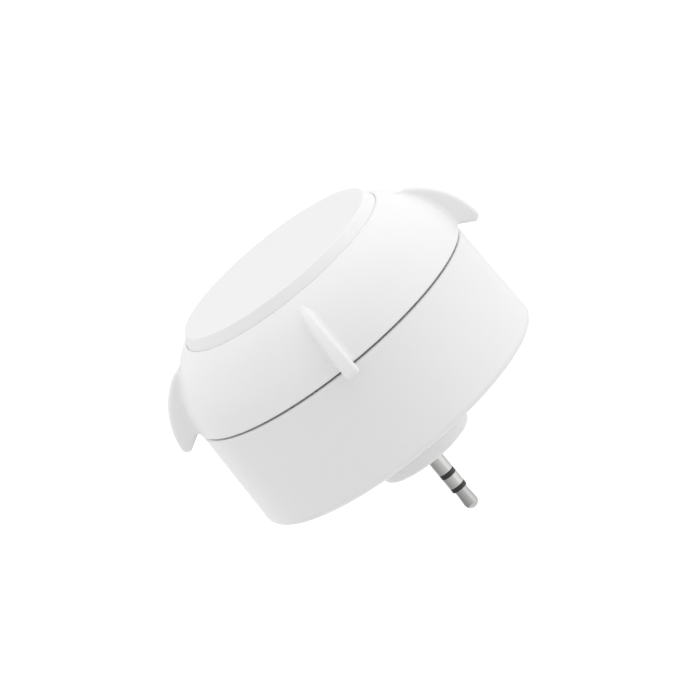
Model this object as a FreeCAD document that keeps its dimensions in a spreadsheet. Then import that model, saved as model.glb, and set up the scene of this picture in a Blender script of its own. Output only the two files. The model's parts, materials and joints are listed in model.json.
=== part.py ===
import FreeCAD, Part
import math
import os
import re
import sys

import Sketcher
from FreeCAD import Vector

# A high bay motion sensor that plugs into a luminaire. It stands lens up and jack plug down.
# The origin is on the axis, in the housing's flat end, where the neck leaves it. All sizes are millimetres.

SIZES = [
    # The housing: a cup that flares slightly to its flat end, with a round neck below
    ("rim_r", 33.3, "housing radius at the seam"),
    ("base_r", 33.9, "housing radius at the flat end"),
    ("seam_z", 23.2, "height of the seam's middle above the flat end"),
    ("seam_gap", 0.5, "open seam between housing and cover"),
    ("housing_wall", 2.2, "wall of the cup"),
    ("floor_thick", 2.6, "thickness of the flat end"),
    ("base_round", 1.6, "rounding round the flat end"),
    ("floor_round", 1.5, "rounding inside, between floor and wall"),
    ("rim_edge", 0.25, "small bevel on both sides of the seam"),
    ("shelf_thick", 2.2, "shelf between the wall and the spigot"),
    ("neck_r", 10.8, "neck radius"),
    ("neck_len", 9.2, "neck length"),
    ("neck_wall", 2.0, "wall of the neck"),
    ("neck_end", 2.0, "closed end of the neck"),
    ("neck_round", 1.0, "rounding on the neck's lower edge"),
    # The spigot that the cover turns on, with its seal and bayonet slots
    ("spigot_wall", 2.2, "wall of the spigot"),
    ("spigot_rise", 5.6, "height of the spigot above the rim"),
    ("spigot_edge", 0.4, "bevel on the spigot's top"),
    ("seal_wire", 1.1, "thickness of the cover's ring seal"),
    ("seal_rise", 0.4, "seal groove above the rim"),
    ("seal_slack", 0.2, "groove taller than the seal by this much"),
    ("seal_sink", 0.95, "depth of the seal groove"),
    ("lug_count", 4, "bayonet lugs"),
    ("lug_angle", 45, "direction of the first lug when locked, in degrees"),
    ("lug_span", 11, "width of a lug, in degrees"),
    ("lug_tall", 1.4, "height of a lug"),
    ("lug_rise", 2.9, "lug's underside above the seam"),
    ("lug_reach", 1.2, "how far a lug stands in from the cover's bore"),
    ("lug_play", 0.3, "free space round a lug in its slot"),
    ("lug_play_angle", 0.8, "free space at the ends of a lug's slot, in degrees"),
    ("turn_angle", 25, "turn from locked to free, in degrees"),
    # The cover: a dome with four grips
    ("cover_r", 33.45, "cover radius at the seam"),
    ("cover_side", 3.15, "cover's side, from its outside to its bore"),
    ("cover_rise", 15.8, "dome height above the seam"),
    ("cover_land", 0.6, "flat ring on the dome, round the lens"),
    ("cover_wall", 2.0, "wall of the dome"),
    ("cover_play", 0.3, "free space between the spigot and the cover's bore"),
    ("skirt_rise", 6.0, "height of the cover's bore above the seam"),
    ("lip_thick", 2.0, "lip over the lens flange"),
    ("hold_wall", 1.7, "wall round the lens ring"),
    ("hold_deep", 3.6, "depth of the seat for lens and ring"),
    ("wing_count", 4, "grips round the cover"),
    ("wing_out", 4.95, "how far a grip stands out from the cover"),
    ("wing_shoulder_in", 2.85, "from the cover's radius in to where a grip's top starts to round"),
    ("wing_drop", 0.6, "fall of the grip's top over its shoulder"),
    ("wing_shoulder", 1.7, "length of the rounded shoulder"),
    ("wing_slope", 0.5, "rise from there towards the lens, for each millimetre along"),
    ("wing_sink", 0.5, "how far below the dome's top that rise ends, inside the dome"),
    ("wing_curve", 17.3, "radius of a grip's outer edge"),
    ("wing_top_curve", 4.3, "radius of the grip's rounded shoulder"),
    ("wing_foot", 1.3, "how far a grip hangs below the seam"),
    ("wing_toe", 1.5, "width of the rounded toe"),
    ("wing_toe_rise", 0.1, "start of the toe above the seam"),
    ("wing_heel_in", 3.45, "from the cover's radius in to where a grip's underside starts"),
    ("wing_heel_rise", 2.7, "height of that place above the seam"),
    ("wing_thick", 3.3, "grip thickness at its foot"),
    ("wing_thick_top", 1.75, "grip thickness at its top"),
    ("wing_edge", 0.75, "rounding along a grip's edges"),
    ("wing_root", 1.0, "hollow rounding where a grip meets the dome"),
    # The lens, its gasket and the ring that holds it
    ("lens_r", 24.2, "lens radius at the dome"),
    ("lens_top_r", 23.0, "radius of the lens's face"),
    ("lens_rise", 2.35, "lens height above the dome"),
    ("lens_round", 0.3, "rounding round the lens's face"),
    ("lens_thick", 0.8, "thickness of the lens face"),
    ("lens_wall", 0.8, "wall of the lens"),
    ("lens_play", 0.1, "free space round the lens"),
    ("flange_wide", 1.9, "width of the lens flange"),
    ("flange_thick", 1.0, "thickness of the lens flange"),
    ("gasket_thick", 0.6, "thickness of the lens gasket"),
    ("zone_count", 8, "Fresnel zones inside the lens"),
    ("zone_wide", 2.5, "width of a Fresnel zone"),
    ("zone_deep", 0.35, "depth of a Fresnel zone"),
    ("ring_tall", 1.6, "height of the lens ring"),
    ("bead_wide", 0.5, "how far the ring's bead stands out"),
    ("bead_tall", 0.6, "height of the bead"),
    ("bead_rise", 0.4, "bead above the ring's underside"),
    # The main board and what holds it
    ("board_r", 26.8, "board radius"),
    ("board_z", 13.0, "underside of the board"),
    ("board_thick", 1.6, "board thickness"),
    ("screw_circle_r", 22.0, "circle of the deck screws"),
    ("screw_count", 4, "deck screws"),
    ("screw_angle", 45, "direction of the first deck screw, in degrees"),
    ("boss_r", 3.0, "radius of a screw boss"),
    ("screw_r", 1.15, "radius of a screw's shank"),
    ("screw_pilot_play", 0.05, "pilot hole larger than the shank"),
    ("screw_play", 0.25, "clearance hole larger than the shank"),
    ("screw_head_r", 2.3, "radius of a screw head"),
    ("screw_head_tall", 1.4, "height of a screw head"),
    ("deck_screw_len", 16.0, "length of a deck screw"),
    ("pilot_spare", 0.6, "pilot hole deeper than the screw"),
    ("cross_len", 2.4, "length of the cross recess"),
    ("cross_wide", 0.6, "width of the cross recess"),
    ("cross_deep", 0.8, "depth of the cross recess"),
    # The deck over the board
    ("deck_z", 20.0, "underside of the deck"),
    ("deck_thick", 1.4, "deck thickness"),
    ("deck_play", 0.4, "free space between the deck and the spigot"),
    ("post_r", 2.6, "radius of the deck's posts"),
    ("shade_r", 6.6, "outer radius of the tube round the sensor"),
    ("shade_wall", 1.2, "wall of that tube"),
    ("shade_low", 0.8, "tube's lower end above the board"),
    ("shade_rise", 2.0, "tube above the deck"),
    ("window_play", 0.5, "free space round the switches in the deck"),
    # Parts on the board
    ("can_r", 4.1, "radius of the sensor can"),
    ("can_flange_r", 4.6, "radius of the can's flange"),
    ("can_flange_tall", 0.6, "height of the can's flange"),
    ("can_tall", 4.4, "height of the can"),
    ("can_round", 0.5, "rounding on the can"),
    ("filter_len", 4.0, "length of the sensor's window"),
    ("filter_wide", 3.0, "width of the sensor's window"),
    ("filter_thick", 0.4, "thickness of the sensor's window"),
    ("light_x", 14.0, "place of the indicator and the daylight sensor"),
    ("light_y", 6.0, "and how far each lies to the side"),
    ("led_len", 3.2, "indicator length"),
    ("led_wide", 2.8, "indicator width"),
    ("led_tall", 1.9, "indicator height"),
    ("pipe_r", 1.5, "light pipe radius"),
    ("pipe_play", 0.05, "free space round the light pipe"),
    ("pipe_gap", 0.2, "light pipe above the indicator"),
    ("pipe_flange_r", 2.1, "radius of the light pipe's flange"),
    ("pipe_flange_tall", 0.5, "height of that flange"),
    ("pipe_nose", 0.9, "rounded nose of the light pipe"),
    ("eye_len", 4.0, "daylight sensor length"),
    ("eye_wide", 3.2, "daylight sensor width"),
    ("eye_tall", 1.2, "daylight sensor height"),
    ("eye_r", 1.3, "radius of its clear dome"),
    ("eye_hole_r", 2.2, "hole over it in the deck"),
    ("remote_y", 15.0, "place of the remote receiver"),
    ("remote_len", 6.4, "receiver length"),
    ("remote_wide", 5.0, "receiver width"),
    ("remote_tall", 3.6, "receiver height"),
    ("remote_dome_r", 2.1, "radius of the receiver's dome"),
    ("chip_y", 14.5, "place of the controller"),
    ("chip_side", 7.0, "controller side"),
    ("chip_tall", 1.2, "controller height"),
    ("chip_legs", 6, "legs on each side"),
    ("chip_leg_pitch", 1.0, "spacing of the legs"),
    ("chip_leg_wide", 0.4, "leg width"),
    ("chip_leg_len", 0.9, "leg length"),
    ("chip_leg_tall", 0.3, "leg thickness"),
    ("reg_x", 9.0, "place of the voltage regulator"),
    ("reg_y", 14.5, "and how far it lies to the side"),
    ("reg_len", 5.6, "regulator length"),
    ("reg_wide", 3.5, "regulator width"),
    ("reg_tall", 1.6, "regulator height"),
    ("small_ring_r", 9.2, "circle of the small chips"),
    ("small_count", 8, "small chips"),
    ("small_len", 1.6, "small chip length"),
    ("small_wide", 0.8, "small chip width"),
    ("small_tall", 0.6, "small chip height"),
    ("cap_x", 9.0, "place of the capacitor"),
    ("cap_y", 13.0, "and how far it lies to the side"),
    ("cap_r", 3.15, "capacitor radius"),
    ("cap_tall", 7.0, "capacitor height"),
    ("cap_crimp", 0.35, "depth of its crimp"),
    ("cap_round", 0.4, "rounding on the capacitor"),
    ("coil_x", 9.5, "place of the inductor"),
    ("coil_y", 13.0, "and how far it lies to the side"),
    ("coil_side", 6.0, "inductor side"),
    ("coil_tall", 3.0, "inductor height"),
    ("coil_core_r", 2.0, "radius of its core"),
    ("coil_ring_r", 2.5, "radius of its winding space"),
    ("coil_ring_deep", 0.6, "depth of its winding space"),
    # The setting switches
    ("dip_x", 14.5, "place of the switch block"),
    ("dip_count", 4, "switches"),
    ("dip_pitch", 2.54, "spacing of the switches"),
    ("dip_side", 0.78, "block beyond the first and last switch's pitch"),
    ("dip_wide", 6.6, "width of the switch block"),
    ("dip_tall", 3.4, "height of the switch block"),
    ("dip_leg_wide", 0.6, "width of its legs"),
    ("dip_leg_len", 1.1, "length of its legs"),
    ("dip_leg_tall", 0.3, "thickness of its legs"),
    ("slider_len", 1.5, "slider length"),
    ("slider_wide", 1.1, "slider width"),
    ("slider_rise", 0.8, "slider above the block"),
    ("slider_sink", 1.0, "slider below the block's top"),
    ("slider_travel", 1.3, "travel of a slider"),
    ("slider_play", 0.1, "free space round a slider"),
    # Plug and lead on the board's underside
    ("header_y", 16.25, "middle of the header"),
    ("header_len", 9.8, "header length"),
    ("header_wide", 6.5, "header depth"),
    ("header_tall", 5.0, "header height"),
    ("header_wall", 0.8, "wall of the header"),
    ("inlet_play", 0.1, "free space round the lead's plug"),
    ("inlet_stand", 1.6, "lead's plug outside the header"),
    ("lead_r", 0.6, "lead radius"),
    ("lead_pitch", 2.5, "spacing of the leads"),
    ("lead_bend", 3.0, "bend radius of the leads"),
    # The jack plug and its carrier
    ("plug_r", 1.75, "plug radius"),
    ("plug_len", 13.6, "plug length below the collar"),
    ("collar_r", 2.8, "collar radius"),
    ("collar_len", 2.0, "collar below the neck"),
    ("collar_play", 0.1, "free space round the collar"),
    ("collar_edge", 0.3, "bevel on the collar"),
    ("tip_len", 5.05, "tip contact length"),
    ("band_len", 0.9, "width of each black band"),
    ("pole_len", 2.75, "ring contact length"),
    ("contact_edge", 0.12, "bevel on the edges of the ring and the sleeve"),
    ("tip_neck_r", 1.4, "tip radius at its waist"),
    ("tip_neck_len", 0.9, "waist below the band"),
    ("tip_bulge_r", 1.53, "tip radius at its bulge"),
    ("tip_bulge_len", 3.3, "bulge below the band"),
    ("tip_end_r", 0.5, "flat on the tip's end"),
    ("tip_curve", 1.55, "radius of the rounded end"),
    ("rod_r", 0.45, "rod through the plug"),
    ("layer", 0.28, "wall of each layer round the rod"),
    ("layer_play", 0.02, "free space between the layers"),
    ("foot_r", 4.6, "plug's foot inside the neck"),
    ("foot_tall", 1.5, "height of the foot"),
    ("barrel_r", 3.2, "plug's barrel above the foot"),
    ("barrel_tall", 3.7, "height of the barrel"),
    ("step_tall", 2.0, "each contact stands this much above the last"),
    ("tab_len", 3.2, "reach of the ring contact's tab"),
    ("tab_wide", 1.6, "width of that tab"),
    ("tab_thick", 0.4, "thickness of the contact tabs"),
    ("carrier_play", 0.3, "free space between the carrier and the neck"),
    ("carrier_hole_play", 0.2, "free space round the plug in the carrier"),
    ("carrier_well_r", 5.5, "well above the plug"),
    ("carrier_well_low", 0.5, "well's floor above the barrel's end"),
    ("carrier_seat_z", 5.8, "underside of the carrier's plate"),
    ("carrier_plate", 1.6, "plate thickness"),
    ("carrier_plate_r", 9.6, "plate radius"),
    ("carrier_screw_x", 13.5, "place of the carrier screws"),
    ("carrier_ear_r", 3.2, "radius of the carrier's ears"),
    ("carrier_screw_len", 5.6, "length of a carrier screw"),
    ("neck_seal_wire", 1.2, "thickness of the carrier's ring seal"),
    ("neck_seal_sink", 1.0, "depth of its groove"),
    ("neck_seal_rise", 2.6, "groove above the carrier's lower end"),
    ("cut_past", 1.0, "how far a cut reaches past the surface that it opens"),
]

# Levels that several pieces share
RIM = "(seam_z - seam_gap / 2)"
COVER_LOW = "(seam_z + seam_gap / 2)"
COVER_TOP = "(seam_z + cover_rise)"
COVER_BORE = "(cover_r - cover_side)"
WING_HEEL_R = "(cover_r - wing_heel_in)"
SPIGOT_R = "(cover_r - cover_side - cover_play)"
BOARD_TOP = "(board_z + board_thick)"
DECK_TOP = "(deck_z + deck_thick)"
SPIGOT_BORE = "(cover_r - cover_side - cover_play - spigot_wall)"
NECK_BORE = "(neck_r - neck_wall)"
NECK_FLOOR = "(neck_end - neck_len)"
LENS_OPENING = "(lens_r + lens_play)"
LENS_SEAT = "(seam_z + cover_rise - lip_thick)"
LENS_TOP = "(seam_z + cover_rise + lens_rise)"
LENS_FLANGE_R = "(lens_r + flange_wide)"
HOLD_R = "(lens_r + flange_wide + 2 * lens_play)"
FLANGE_TOP = "(seam_z + cover_rise - lip_thick - gasket_thick)"
FLANGE_LOW = "(seam_z + cover_rise - lip_thick - gasket_thick - flange_thick)"
COLLAR_LOW = "(-neck_len - collar_len)"
TIP_END = "(-neck_len - collar_len - plug_len)"
TIP_TOP = "(tip_len - neck_len - collar_len - plug_len)"
POLE_LOW = "(tip_len + band_len - neck_len - collar_len - plug_len)"
POLE_TOP = "(tip_len + band_len + pole_len - neck_len - collar_len - plug_len)"
SLEEVE_LOW = "(tip_len + 2 * band_len + pole_len - neck_len - collar_len - plug_len)"
BARREL_TOP = "(neck_end - neck_len + foot_tall + barrel_tall)"
POLE_TAB = "(neck_end - neck_len + foot_tall + barrel_tall + step_tall)"
TIP_TAB = "(neck_end - neck_len + foot_tall + barrel_tall + 2 * step_tall)"
LEAD_LEVEL = "(board_z - header_tall / 2)"
HEADER_FRONT = "(header_y - header_wide / 2)"
PILOT_R = "(screw_r + screw_pilot_play)"
SCREW_HOLE_R = "(screw_r + screw_play)"
DIP_LEN = "(dip_count * dip_pitch + 2 * dip_side)"
SLOT_LEN = "(slider_len + slider_travel + 2 * slider_play)"

# Limits for comparing shapes: a length, a volume and a share of a unit direction
TOUCHING = 0.1
NO_VOLUME = 0.001
NEARLY_ONE = 0.9

doc = FreeCAD.newDocument("motion_sensor")
sheet = doc.addObject("Spreadsheet::Sheet", "Sizes")
nodes = []


def fill_sheet():
    """Write each size, its name and its meaning into one row of the sheet."""
    for row, (name, number, meaning) in enumerate(SIZES, start=1):
        sheet.set(f"A{row}", meaning)
        sheet.set(f"B{row}", str(number))
        sheet.setAlias(f"B{row}", name)
    doc.recompute()


def cells(formula):
    """A formula of size names, written as the sheet's cells. Names before a bracket are functions."""
    return re.sub(r"\b[a-z][a-z0-9_]*\b(?!\()", r"Sizes.\g<0>", formula)


def value(formula):
    """The number that a formula gives now, to start a sketch near its solution."""
    return float(sheet.evalExpression(cells(formula)))


def bind(thing, **formulas):
    """Tie properties of an object to formulas of the sheet's sizes."""
    for name, formula in formulas.items():
        thing.setExpression(name.replace("__", "."), cells(formula))
    return thing


def place(thing, x="0", y="0", z="0"):
    """Put an object at a place that follows the sheet."""
    for axis, formula in zip("xyz", (x, y, z)):
        thing.setExpression(f"Placement.Base.{axis}", cells(formula))
    return thing


def node(thing, label):
    """Name a finished sub-part. Its label is its file's name."""
    thing.Label = label
    nodes.append(thing)
    return thing


# Sketches and the features made from them


def new_body(name):
    return doc.addObject("PartDesign::Body", name)


def origin_part(body, role):
    return [part for part in body.Origin.OriginFeatures if part.Role == role][0]


def new_sketch(body, plane="XY_Plane", level="0"):
    """An empty sketch on one of the body's own planes, lifted to a level."""
    sketch = body.newObject("Sketcher::SketchObject", body.Name + "_sketch")
    sketch.AttachmentSupport = [(origin_part(body, plane), "")]
    sketch.MapMode = "FlatFace"
    sketch.setExpression("AttachmentOffset.Base.z", cells(level))
    return sketch


def fix_point(sketch, edge, end, x, y):
    """Hold one point of a sketch at a place that follows the sheet."""
    for kind, formula in (("DistanceX", x), ("DistanceY", y)):
        number = sketch.addConstraint(Sketcher.Constraint(kind, -1, 1, edge, end, value(formula)))
        sketch.setExpression(f"Constraints[{number}]", cells(formula))


def fix_radius(sketch, edge, radius):
    number = sketch.addConstraint(Sketcher.Constraint("Radius", edge, value(radius)))
    sketch.setExpression(f"Constraints[{number}]", cells(radius))


def arc_between(start, stop, radius, side):
    """The arc from start to stop whose centre is to the left or the right of the way."""
    way = stop - start
    half = way.Length / 2
    rise = math.sqrt(max(radius * radius - half * half, 0.0))
    left = Vector(-way.y, way.x, 0).normalize()
    turn = 1 if side == "left" else -1
    centre = (start + stop) * 0.5 + left * (rise * turn)
    first, last = (start, stop) if turn > 0 else (stop, start)
    angles = [math.atan2(point.y - centre.y, point.x - centre.x) for point in (first, last)]
    if angles[1] < angles[0]:
        angles[1] += 2 * math.pi
    return Part.ArcOfCircle(Part.Circle(centre, Vector(0, 0, 1), radius), angles[0], angles[1])


def outline(sketch, corners):
    """Draw a closed outline. A corner is (across, up). One that ends an arc adds its radius and
    the side of the way on which its centre lies."""
    points = [Vector(value(corner[0]), value(corner[1]), 0) for corner in corners]
    edges = []
    for index, corner in enumerate(corners):
        start, stop = points[index - 1], points[index]
        if len(corner) == 2:
            edges.append((sketch.addGeometry(Part.LineSegment(start, stop)), 1, 2))
        else:
            arc = sketch.addGeometry(arc_between(start, stop, value(corner[2]), corner[3]))
            ends = (1, 2) if corner[3] == "left" else (2, 1)
            edges.append((arc, *ends))
    for index, (edge, _, last) in enumerate(edges):
        follower, first, _ = edges[(index + 1) % len(edges)]
        sketch.addConstraint(Sketcher.Constraint("Coincident", edge, last, follower, first))
    for (edge, _, last), corner in zip(edges, corners):
        fix_point(sketch, edge, last, corner[0], corner[1])
        if len(corner) > 2:
            fix_radius(sketch, edge, corner[2])
    return sketch


def circles(sketch, radius, centres):
    """Draw circles of one radius at several places."""
    for x, y in centres:
        circle = Part.Circle(Vector(value(x), value(y), 0), Vector(0, 0, 1), value(radius))
        edge = sketch.addGeometry(circle)
        fix_point(sketch, edge, 3, x, y)
        fix_radius(sketch, edge, radius)
    return sketch


def rectangle(sketch, length, width, x="0", y="0"):
    """Draw a rectangle round a middle point."""
    low_x, high_x = f"{x} - {length} / 2", f"{x} + {length} / 2"
    low_y, high_y = f"{y} - {width} / 2", f"{y} + {width} / 2"
    return outline(sketch, [(low_x, low_y), (high_x, low_y), (high_x, high_y), (low_x, high_y)])


def sector(sketch, inner, outer, low, high):
    """Draw a piece of a ring between two radii and two directions."""

    def at(radius, angle):
        return (f"{radius} * cos({angle})", f"{radius} * sin({angle})")

    corners = [
        (*at(inner, low), inner, "right"),
        at(outer, low),
        (*at(outer, high), outer, "left"),
        at(inner, high),
    ]
    return outline(sketch, corners)


def revolved(body, corners, cut=False):
    """Turn an outline in the XZ plane round the axis, to add or to cut."""
    sketch = outline(new_sketch(body, "XZ_Plane"), corners)
    kind = "Groove" if cut else "Revolution"
    feature = body.newObject("PartDesign::" + kind, f"{body.Name}_{kind.lower()}")
    feature.Profile = sketch
    feature.ReferenceAxis = (sketch, ["V_Axis"])
    feature.Angle = 360
    return feature


def raised(body, sketch, height, both_ways=False):
    """Pad a sketch upwards, or half to each side."""
    feature = body.newObject("PartDesign::Pad", body.Name + "_pad")
    feature.Profile = sketch
    feature.SideType = "Symmetric" if both_ways else "One side"
    return bind(feature, Length=height)


def sunk(body, sketch, height):
    """Cut a sketch upwards from its own level."""
    feature = body.newObject("PartDesign::Pocket", body.Name + "_pocket")
    feature.Profile = sketch
    feature.Reversed = True
    return bind(feature, Length=height)


def cut_through(body, sketch):
    """Cut a sketch through everything, both ways."""
    feature = body.newObject("PartDesign::Pocket", body.Name + "_opening")
    feature.Profile = sketch
    feature.Type = "ThroughAll"
    feature.SideType = "Symmetric"
    return feature


def repeated(body, features, count, whole=False):
    """Repeat features, or the whole body so far, round the axis. What is repeated has to be made first."""
    doc.recompute()
    feature = body.newObject("PartDesign::PolarPattern", body.Name + "_pattern")
    if whole:
        feature.TransformMode = "Whole shape"
    else:
        feature.Originals = features
    feature.Axis = (origin_part(body, "Z_Axis"), [""])
    feature.Angle = 360
    bind(feature, Occurrences=count)
    body.Tip = feature
    return feature


# Plain solids for small parts


def block(name, length, width, height, x="0", y="0", z="0"):
    """A box whose foot is centred on x and y."""
    box = doc.addObject("Part::Box", name)
    bind(box, Length=length, Width=width, Height=height)
    return place(box, f"{x} - {length} / 2", f"{y} - {width} / 2", z)


def rod(name, radius, height, x="0", y="0", z="0"):
    return place(bind(doc.addObject("Part::Cylinder", name), Radius=radius, Height=height), x, y, z)


def ball(name, radius, x="0", y="0", z="0"):
    return place(bind(doc.addObject("Part::Sphere", name), Radius=radius), x, y, z)


def wire_ring(name, radius, thickness, z):
    """A ring seal. The radius is that of its middle line."""
    torus = doc.addObject("Part::Torus", name)
    bind(torus, Radius1=radius, Radius2=f"{thickness} / 2")
    return place(torus, z=z)


def fused(name, parts):
    fusion = doc.addObject("Part::MultiFuse", name)
    fusion.Shapes = parts
    return fusion


def grouped(name, parts):
    """Separate solids that share one node."""
    group = doc.addObject("Part::Compound", name)
    group.Links = parts
    return group


def cut_from(name, base, tools):
    cut = doc.addObject("Part::Cut", name)
    cut.Base = base
    cut.Tool = tools[0] if len(tools) == 1 else fused(name + "_tools", tools)
    return cut


def screw_places():
    """Middle points of the deck screws, evenly round the board."""
    count = int(value("screw_count"))
    angles = [f"(screw_angle + {index} * 360 / screw_count)" for index in range(count)]
    return [(f"screw_circle_r * cos({angle})", f"screw_circle_r * sin({angle})") for angle in angles]


def carrier_screw_places():
    return [("carrier_screw_x", "0"), ("-carrier_screw_x", "0")]


# The sub-parts


def housing():
    """Cup, shelf, spigot and neck in one moulding, with screw bosses and bayonet slots."""
    body = new_body("housing")
    groove_low = f"{RIM} + seal_rise"
    groove_high = f"{RIM} + seal_rise + seal_wire + seal_slack"
    spigot_top = f"{RIM} + spigot_rise"
    shelf_low = f"{RIM} - shelf_thick"
    wall_r = "(rim_r - housing_wall)"
    floor_r = "(base_r - housing_wall)"
    collar_hole = "collar_r + collar_play"
    revolved(
        body,
        [
            (collar_hole, "-neck_len"),
            ("neck_r - neck_round", "-neck_len"),
            ("neck_r", "neck_round - neck_len", "neck_round", "left"),
            ("neck_r", "0"),
            ("base_r - base_round", "0"),
            ("base_r", "base_round", "base_round", "left"),
            ("rim_r", f"{RIM} - rim_edge"),
            ("rim_r - rim_edge", RIM),
            (SPIGOT_R, RIM),
            (SPIGOT_R, groove_low),
            (f"{SPIGOT_R} - seal_sink", groove_low),
            (f"{SPIGOT_R} - seal_sink", groove_high),
            (SPIGOT_R, groove_high),
            (SPIGOT_R, f"{spigot_top} - spigot_edge"),
            (f"{SPIGOT_R} - spigot_edge", spigot_top),
            (SPIGOT_BORE, spigot_top),
            (SPIGOT_BORE, shelf_low),
            (wall_r, f"{shelf_low} - ({wall_r} - {SPIGOT_BORE})"),
            (floor_r, "floor_thick + floor_round"),
            (f"{floor_r} - floor_round", "floor_thick", "floor_round", "right"),
            (NECK_BORE, "floor_thick"),
            (NECK_BORE, NECK_FLOOR),
            (collar_hole, NECK_FLOOR),
        ],
    )
    boss = circles(new_sketch(body, level="floor_thick"), "boss_r", screw_places())
    raised(body, boss, "board_z - floor_thick")
    short_boss = circles(new_sketch(body, level="floor_thick"), "boss_r", carrier_screw_places())
    raised(body, short_boss, "carrier_seat_z - floor_thick")
    deck_screw_end = f"{DECK_TOP} - deck_screw_len - pilot_spare"
    pilots = circles(new_sketch(body, level=deck_screw_end), PILOT_R, screw_places())
    sunk(body, pilots, f"board_z - ({deck_screw_end})")
    carrier_screw_end = "carrier_seat_z + carrier_plate - carrier_screw_len - pilot_spare"
    short_pilots = circles(new_sketch(body, level=carrier_screw_end), PILOT_R, carrier_screw_places())
    sunk(body, short_pilots, f"carrier_seat_z - ({carrier_screw_end})")
    cut_bayonet_slots(body, spigot_top)
    return node(body, "housing")


def cut_bayonet_slots(body, spigot_top):
    """Each slot runs round the spigot for the turn, and up to its top where the lug leaves."""
    slot_low = "(seam_z + lug_rise - lug_play)"
    slot_r = f"({COVER_BORE} - lug_reach - lug_play)"
    beyond_r = f"({COVER_BORE} + cover_play)"
    half = "(lug_span / 2 + lug_play_angle)"
    run = new_sketch(body, level=slot_low)
    sector(run, slot_r, beyond_r, f"lug_angle - {half}", f"lug_angle + turn_angle + {half}")
    run_cut = sunk(body, run, "lug_tall + 2 * lug_play")
    way_out = new_sketch(body, level=slot_low)
    locked_end = f"lug_angle + turn_angle - {half}"
    free_end = f"lug_angle + turn_angle + {half}"
    sector(way_out, slot_r, beyond_r, locked_end, free_end)
    way_out_cut = sunk(body, way_out, f"{spigot_top} - {slot_low} + lug_play")
    repeated(body, [run_cut, way_out_cut], "lug_count")


def twist_cover():
    """Domed cover with its grips outside, bayonet lugs inside and a seat for the lens."""
    body = new_body("twist_cover")
    body.AllowCompound = True
    wing(body)
    repeated(body, [], "wing_count", whole=True)
    dome_low = f"({COVER_LOW} + rim_edge)"
    land_r = f"({LENS_OPENING} + cover_land)"
    inward = f"(cover_r - {land_r})"
    upward = f"({COVER_TOP} - {dome_low})"
    dome_curve = f"(({inward} * {inward} + {upward} * {upward}) / (2 * {inward}))"
    dome = revolved(
        body,
        [
            ("0", COVER_LOW),
            ("cover_r - rim_edge", COVER_LOW),
            ("cover_r", dome_low),
            (land_r, COVER_TOP, dome_curve, "left"),
            ("0", COVER_TOP),
        ],
    )
    doc.recompute()
    blended = body.newObject("PartDesign::Fillet", body.Name + "_roots")
    blended.Base = (dome, root_edges(dome.Shape))
    bind(blended, Radius="wing_root")
    hold_low = f"({LENS_SEAT} - hold_deep)"
    bead_low = f"({FLANGE_LOW} - ring_tall + bead_rise)"
    spare = "lens_play"
    revolved(
        body,
        [
            ("0", f"{COVER_LOW} - wing_foot - cut_past"),
            (COVER_BORE, f"{COVER_LOW} - wing_foot - cut_past"),
            (COVER_BORE, "seam_z + skirt_rise"),
            (f"{HOLD_R} + hold_wall", hold_low, f"{dome_curve} - cover_wall", "left"),
            (HOLD_R, hold_low),
            (HOLD_R, f"{bead_low} - {spare}"),
            (f"{HOLD_R} + bead_wide", f"{bead_low} - {spare}"),
            (f"{HOLD_R} + bead_wide", f"{bead_low} + bead_tall + {spare}"),
            (HOLD_R, f"{bead_low} + bead_tall + {spare}"),
            (HOLD_R, LENS_SEAT),
            (LENS_OPENING, LENS_SEAT),
            (LENS_OPENING, f"{COVER_TOP} + cut_past"),
            ("0", f"{COVER_TOP} + cut_past"),
        ],
        cut=True,
    )
    lug = new_sketch(body, level="seam_z + lug_rise")
    lug_r = f"({COVER_BORE} - lug_reach)"
    root_r = f"({COVER_BORE} + cover_wall / 2)"
    sector(lug, lug_r, root_r, "lug_angle - lug_span / 2", "lug_angle + lug_span / 2")
    repeated(body, [raised(body, lug, "lug_tall")], "lug_count")
    return node(body, "twist_cover")


def wing(body):
    """One grip: an upright plate along the dome that thins towards its top and hangs over the seam."""
    top_root_r = f"({LENS_OPENING} + cover_land)"
    foot = "(seam_z - wing_foot)"
    shoulder_r = "(cover_r - wing_shoulder_in)"
    ramp_end = f"({COVER_TOP} - wing_sink)"
    top = f"({ramp_end} - wing_slope * ({shoulder_r} - wing_shoulder - {top_root_r}))"
    profile = new_sketch(body, "XZ_Plane")
    outline(
        profile,
        [
            (WING_HEEL_R, "seam_z + wing_heel_rise"),
            ("cover_r + wing_out - wing_toe", foot),
            ("cover_r + wing_out", "seam_z + wing_toe_rise", "wing_toe", "left"),
            (shoulder_r, f"{top} - wing_drop", "wing_curve", "left"),
            (f"{shoulder_r} - wing_shoulder", top, "wing_top_curve", "left"),
            (top_root_r, ramp_end),
        ],
    )
    raised(body, profile, "wing_thick", both_ways=True)
    thinning = new_sketch(body, "YZ_Plane")
    for side in ("-", ""):
        outline(
            thinning,
            [
                (f"{side}wing_thick / 2", foot),
                (f"{side}(wing_thick / 2 + cut_past)", foot),
                (f"{side}(wing_thick / 2 + cut_past)", f"{ramp_end} + cut_past"),
                (f"{side}wing_thick_top / 2", f"{ramp_end} + cut_past"),
                (f"{side}wing_thick_top / 2", ramp_end),
            ],
        )
    thinned = cut_through(body, thinning)
    doc.recompute()
    rounded = body.newObject("PartDesign::Fillet", body.Name + "_edges")
    rounded.Base = (thinned, wing_edges(thinned.Shape))
    bind(rounded, Radius="wing_edge")


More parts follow.
